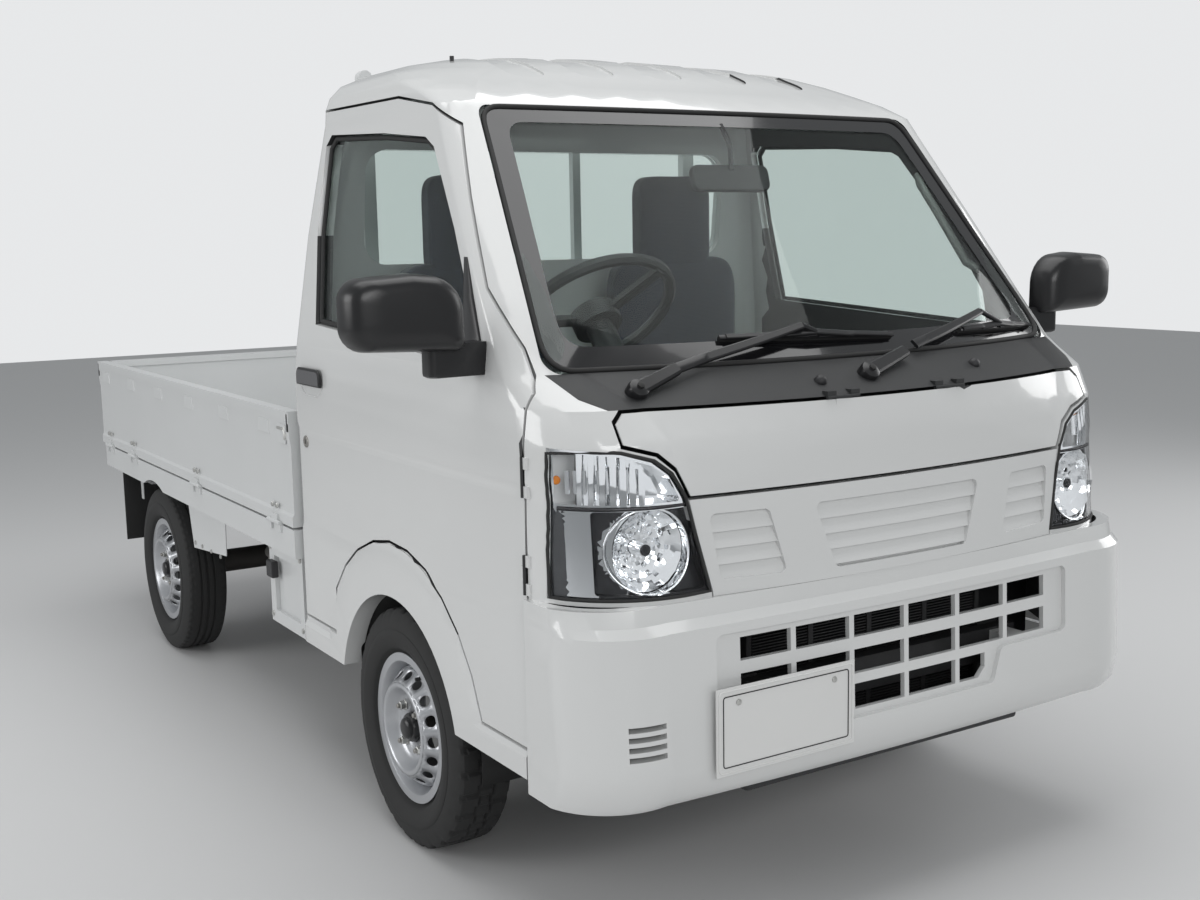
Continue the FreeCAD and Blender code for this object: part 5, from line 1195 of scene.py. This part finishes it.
def pad(name, low, high, crown, face, channels=(), cuts=14):
    """A crowned cushion between two corners. Its sides pull in between its corners, and
    channels are sewn lines across its face, as shares of its width or length."""
    shape = bmesh.new()
    bmesh.ops.create_cube(shape, size=2.0)
    bmesh.ops.subdivide_edges(shape, edges=shape.edges[:], cuts=cuts, use_grid_fill=True)
    centre = (Vector(low) + Vector(high)) / 2
    half = (Vector(high) - Vector(low)) / 2
    up = "xyz".index(face)
    side, end = (axis for axis in range(3) if axis != up)
    for vert in shape.verts:
        q = vert.co / sum(abs(c) ** SQUARENESS for c in vert.co) ** (1 / SQUARENESS)
        a, b = q[side], q[end]
        q[up] *= (1 - crown) + crown * ((1 - a ** 4) * (1 - b ** 4))
        waist = WAIST * (1 - q[up] ** 2)
        q[side] *= 1 - waist * (1 - b ** 2)
        q[end] *= 1 - waist * (1 - a ** 2)
        for axis, share in channels:
            near = abs(q[(side, end)[axis]] - share) / CHANNEL_REACH
            if near < 1:
                q[up] -= math.copysign(CHANNEL_DEPTH / half[up], q[up]) * (1 - near) ** 2
        vert.co = centre + q * half
        vert.co.z += UNEVEN * noise.noise(vert.co * UNEVEN_SCALE + UNEVEN_SHIFT)
    piece = from_bmesh(name, shape, CLOTH, smooth=None)
    smooth_faces(piece)
    fine = piece.modifiers.new("fine", "SUBSURF")
    fine.levels = fine.render_levels = 1
    return piece


def build_seat(side):
    """Cushion, back and head restraint on two posts."""
    low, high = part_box(f"seat_{side}")
    middle, back, deck = (low.x + high.x) / 2, high.y, low.z
    cushion = pad(f"seat_cushion_{side}", (low.x + 0.004, low.y + 0.006, deck + 0.004),
                  (high.x - 0.004, back - 0.075, deck + 0.15), 0.22, "z",
                  channels=((0, -0.62), (0, 0.62), (1, -0.25), (1, 0.3)))
    pad(f"seat_back_{side}", (low.x + 0.012, back - 0.104, deck + 0.115),
        (high.x - 0.012, back - 0.004, deck + 0.636),
        0.3, "y", channels=((0, -0.64), (0, 0.64), (1, -0.3), (1, 0.35)))
    pad(f"head_restraint_{side}", (middle - 0.118, back - 0.094, deck + 0.585),
        (middle + 0.118, back - 0.014, deck + 0.848), 0.22, "y", cuts=10)
    for n, dx in enumerate((-0.045, 0.045)):
        post = [(middle + dx, back - 0.052, deck + 0.6), (middle + dx, back - 0.054, deck + 0.69)]
        tube(f"restraint_post_{side}_{n}", post, 0.0055, STEEL)
    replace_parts(cushion, f"seat_{side}")


for _, side in SIDES:
    build_seat(side)

# ---------------- painted shade on faces, and the cab's inside

JOINT_AT = {joint["name"]: joint["pos_m"] for joint in frame["joints"]}
# Radii about the hinge axes within which faces get painted shade, so that the hinges read as dark shut lines
DOOR_BARREL, LID_BARREL = 0.012, 0.0135
# The space in the cab whose inward faces are trimmed: low and high corner, and its middle
CABIN_LOW, CABIN_HIGH = Vector((-0.72, -1.52, 0.45)), Vector((0.72, -0.42, 1.725))
CABIN_MIDDLE = Vector((0.0, -0.9, 1.2))


def shade_faces(name, shade, chosen):
    """Give a node's faces another material, where a test of the face and its corners says so."""
    mesh = NODES[name].data
    if shade.name not in mesh.materials:
        mesh.materials.append(shade)
    index = mesh.materials.find(shade.name)
    for polygon in mesh.polygons:
        if chosen(polygon, [mesh.vertices[number].co for number in polygon.vertices]):
            polygon.material_index = index


def near_axis(place, radius, axis):
    """A test for faces that lie wholly on a barrel about an axis, 0 for X and 2 for Z."""
    def test(polygon, corners):
        ways = [corner - Vector(place) for corner in corners]
        for way in ways:
            way[axis] = 0
        return all(way.length <= radius for way in ways)
    return test


def looks_back(polygon, corners):
    """Whether a face looks to the rear."""
    return polygon.normal.y > 0.45


def looks_inside(polygon, corners):
    """Whether a face lies in the cab and looks towards its middle."""
    inside = all(low < c < high for low, c, high in zip(CABIN_LOW, polygon.center, CABIN_HIGH))
    return inside and polygon.normal.dot(CABIN_MIDDLE - polygon.center) > 0.12


def paint_shade_and_cab_inside():
    """Paint shade: black on the backs of the bumper and grille, and dark on the hinges in the shut lines. Also
    give the cab's inside walls the chassis black.
    """
    # Painted shade: the backs of the bumper and the grille are coloured black so that the bumper's openings read
    # dark.
    for name in ("front_bumper", "grille_panel"):
        shade_faces(name, BLACK_SATIN, looks_back)
    # Painted shade: faces on the hinge barrels of the lid and the doors are darkened so that the shut lines read
    # as dark gaps.
    for name in ("front_lid", "cowl"):
        shade_faces(name, COWL_GREY, near_axis(JOINT_AT["front_lid_hinge"], LID_BARREL, 0))
    for _, side in SIDES:
        for name in ("cab_shell", f"door_{side}"):
            shade_faces(name, CHASSIS, near_axis(JOINT_AT[f"door_{side}_hinge"], DOOR_BARREL, 2))
    for name in ("cab_shell", "door_left", "door_right"):
        shade_faces(name, CHASSIS, looks_inside)


def build_cabin():
    """Visors, inner mirror and grip."""
    top = SCREEN_TOP
    for sign, side in SIDES:
        x0, x1 = (0.075, 0.46) if sign > 0 else (-0.46, -0.075)
        visor = rounded_line([(x0, -1.06, top - 0.036), (x1, -1.06, top - 0.036), (x1, -0.93, top - 0.006),
                              (x0, -0.93, top - 0.006)], 0.018)
        slab(f"visor_{side}", visor, 0.01, 0.003, (0, -0.22, 0.97), TRIM_GREY)
    mirror = rounded_line([(-0.105, -1.135, top - 0.175), (0.105, -1.135, top - 0.175),
                           (0.105, -1.12, top - 0.118), (-0.105, -1.12, top - 0.118)], 0.02)
    slab("inner_mirror", mirror, 0.018, 0.004, (0, 0.96, -0.25), BLACK_GRAIN)
    stem = [(0, -1.125, top - 0.13), (0, -1.118, top - 0.075), (0, -1.085, top - 0.03)]
    tube("inner_mirror_stem", stem, 0.006, BLACK_GRAIN)
    grip = [(0.6, -1.29, 1.245), (0.588, -1.262, 1.262), (0.56, -1.19, 1.385), (0.548, -1.15, 1.445),
            (0.558, -1.13, 1.47)]
    tube("pillar_grip", grip, 0.01, TRIM_GREY, resolution=4)


paint_shade_and_cab_inside()
build_cabin()
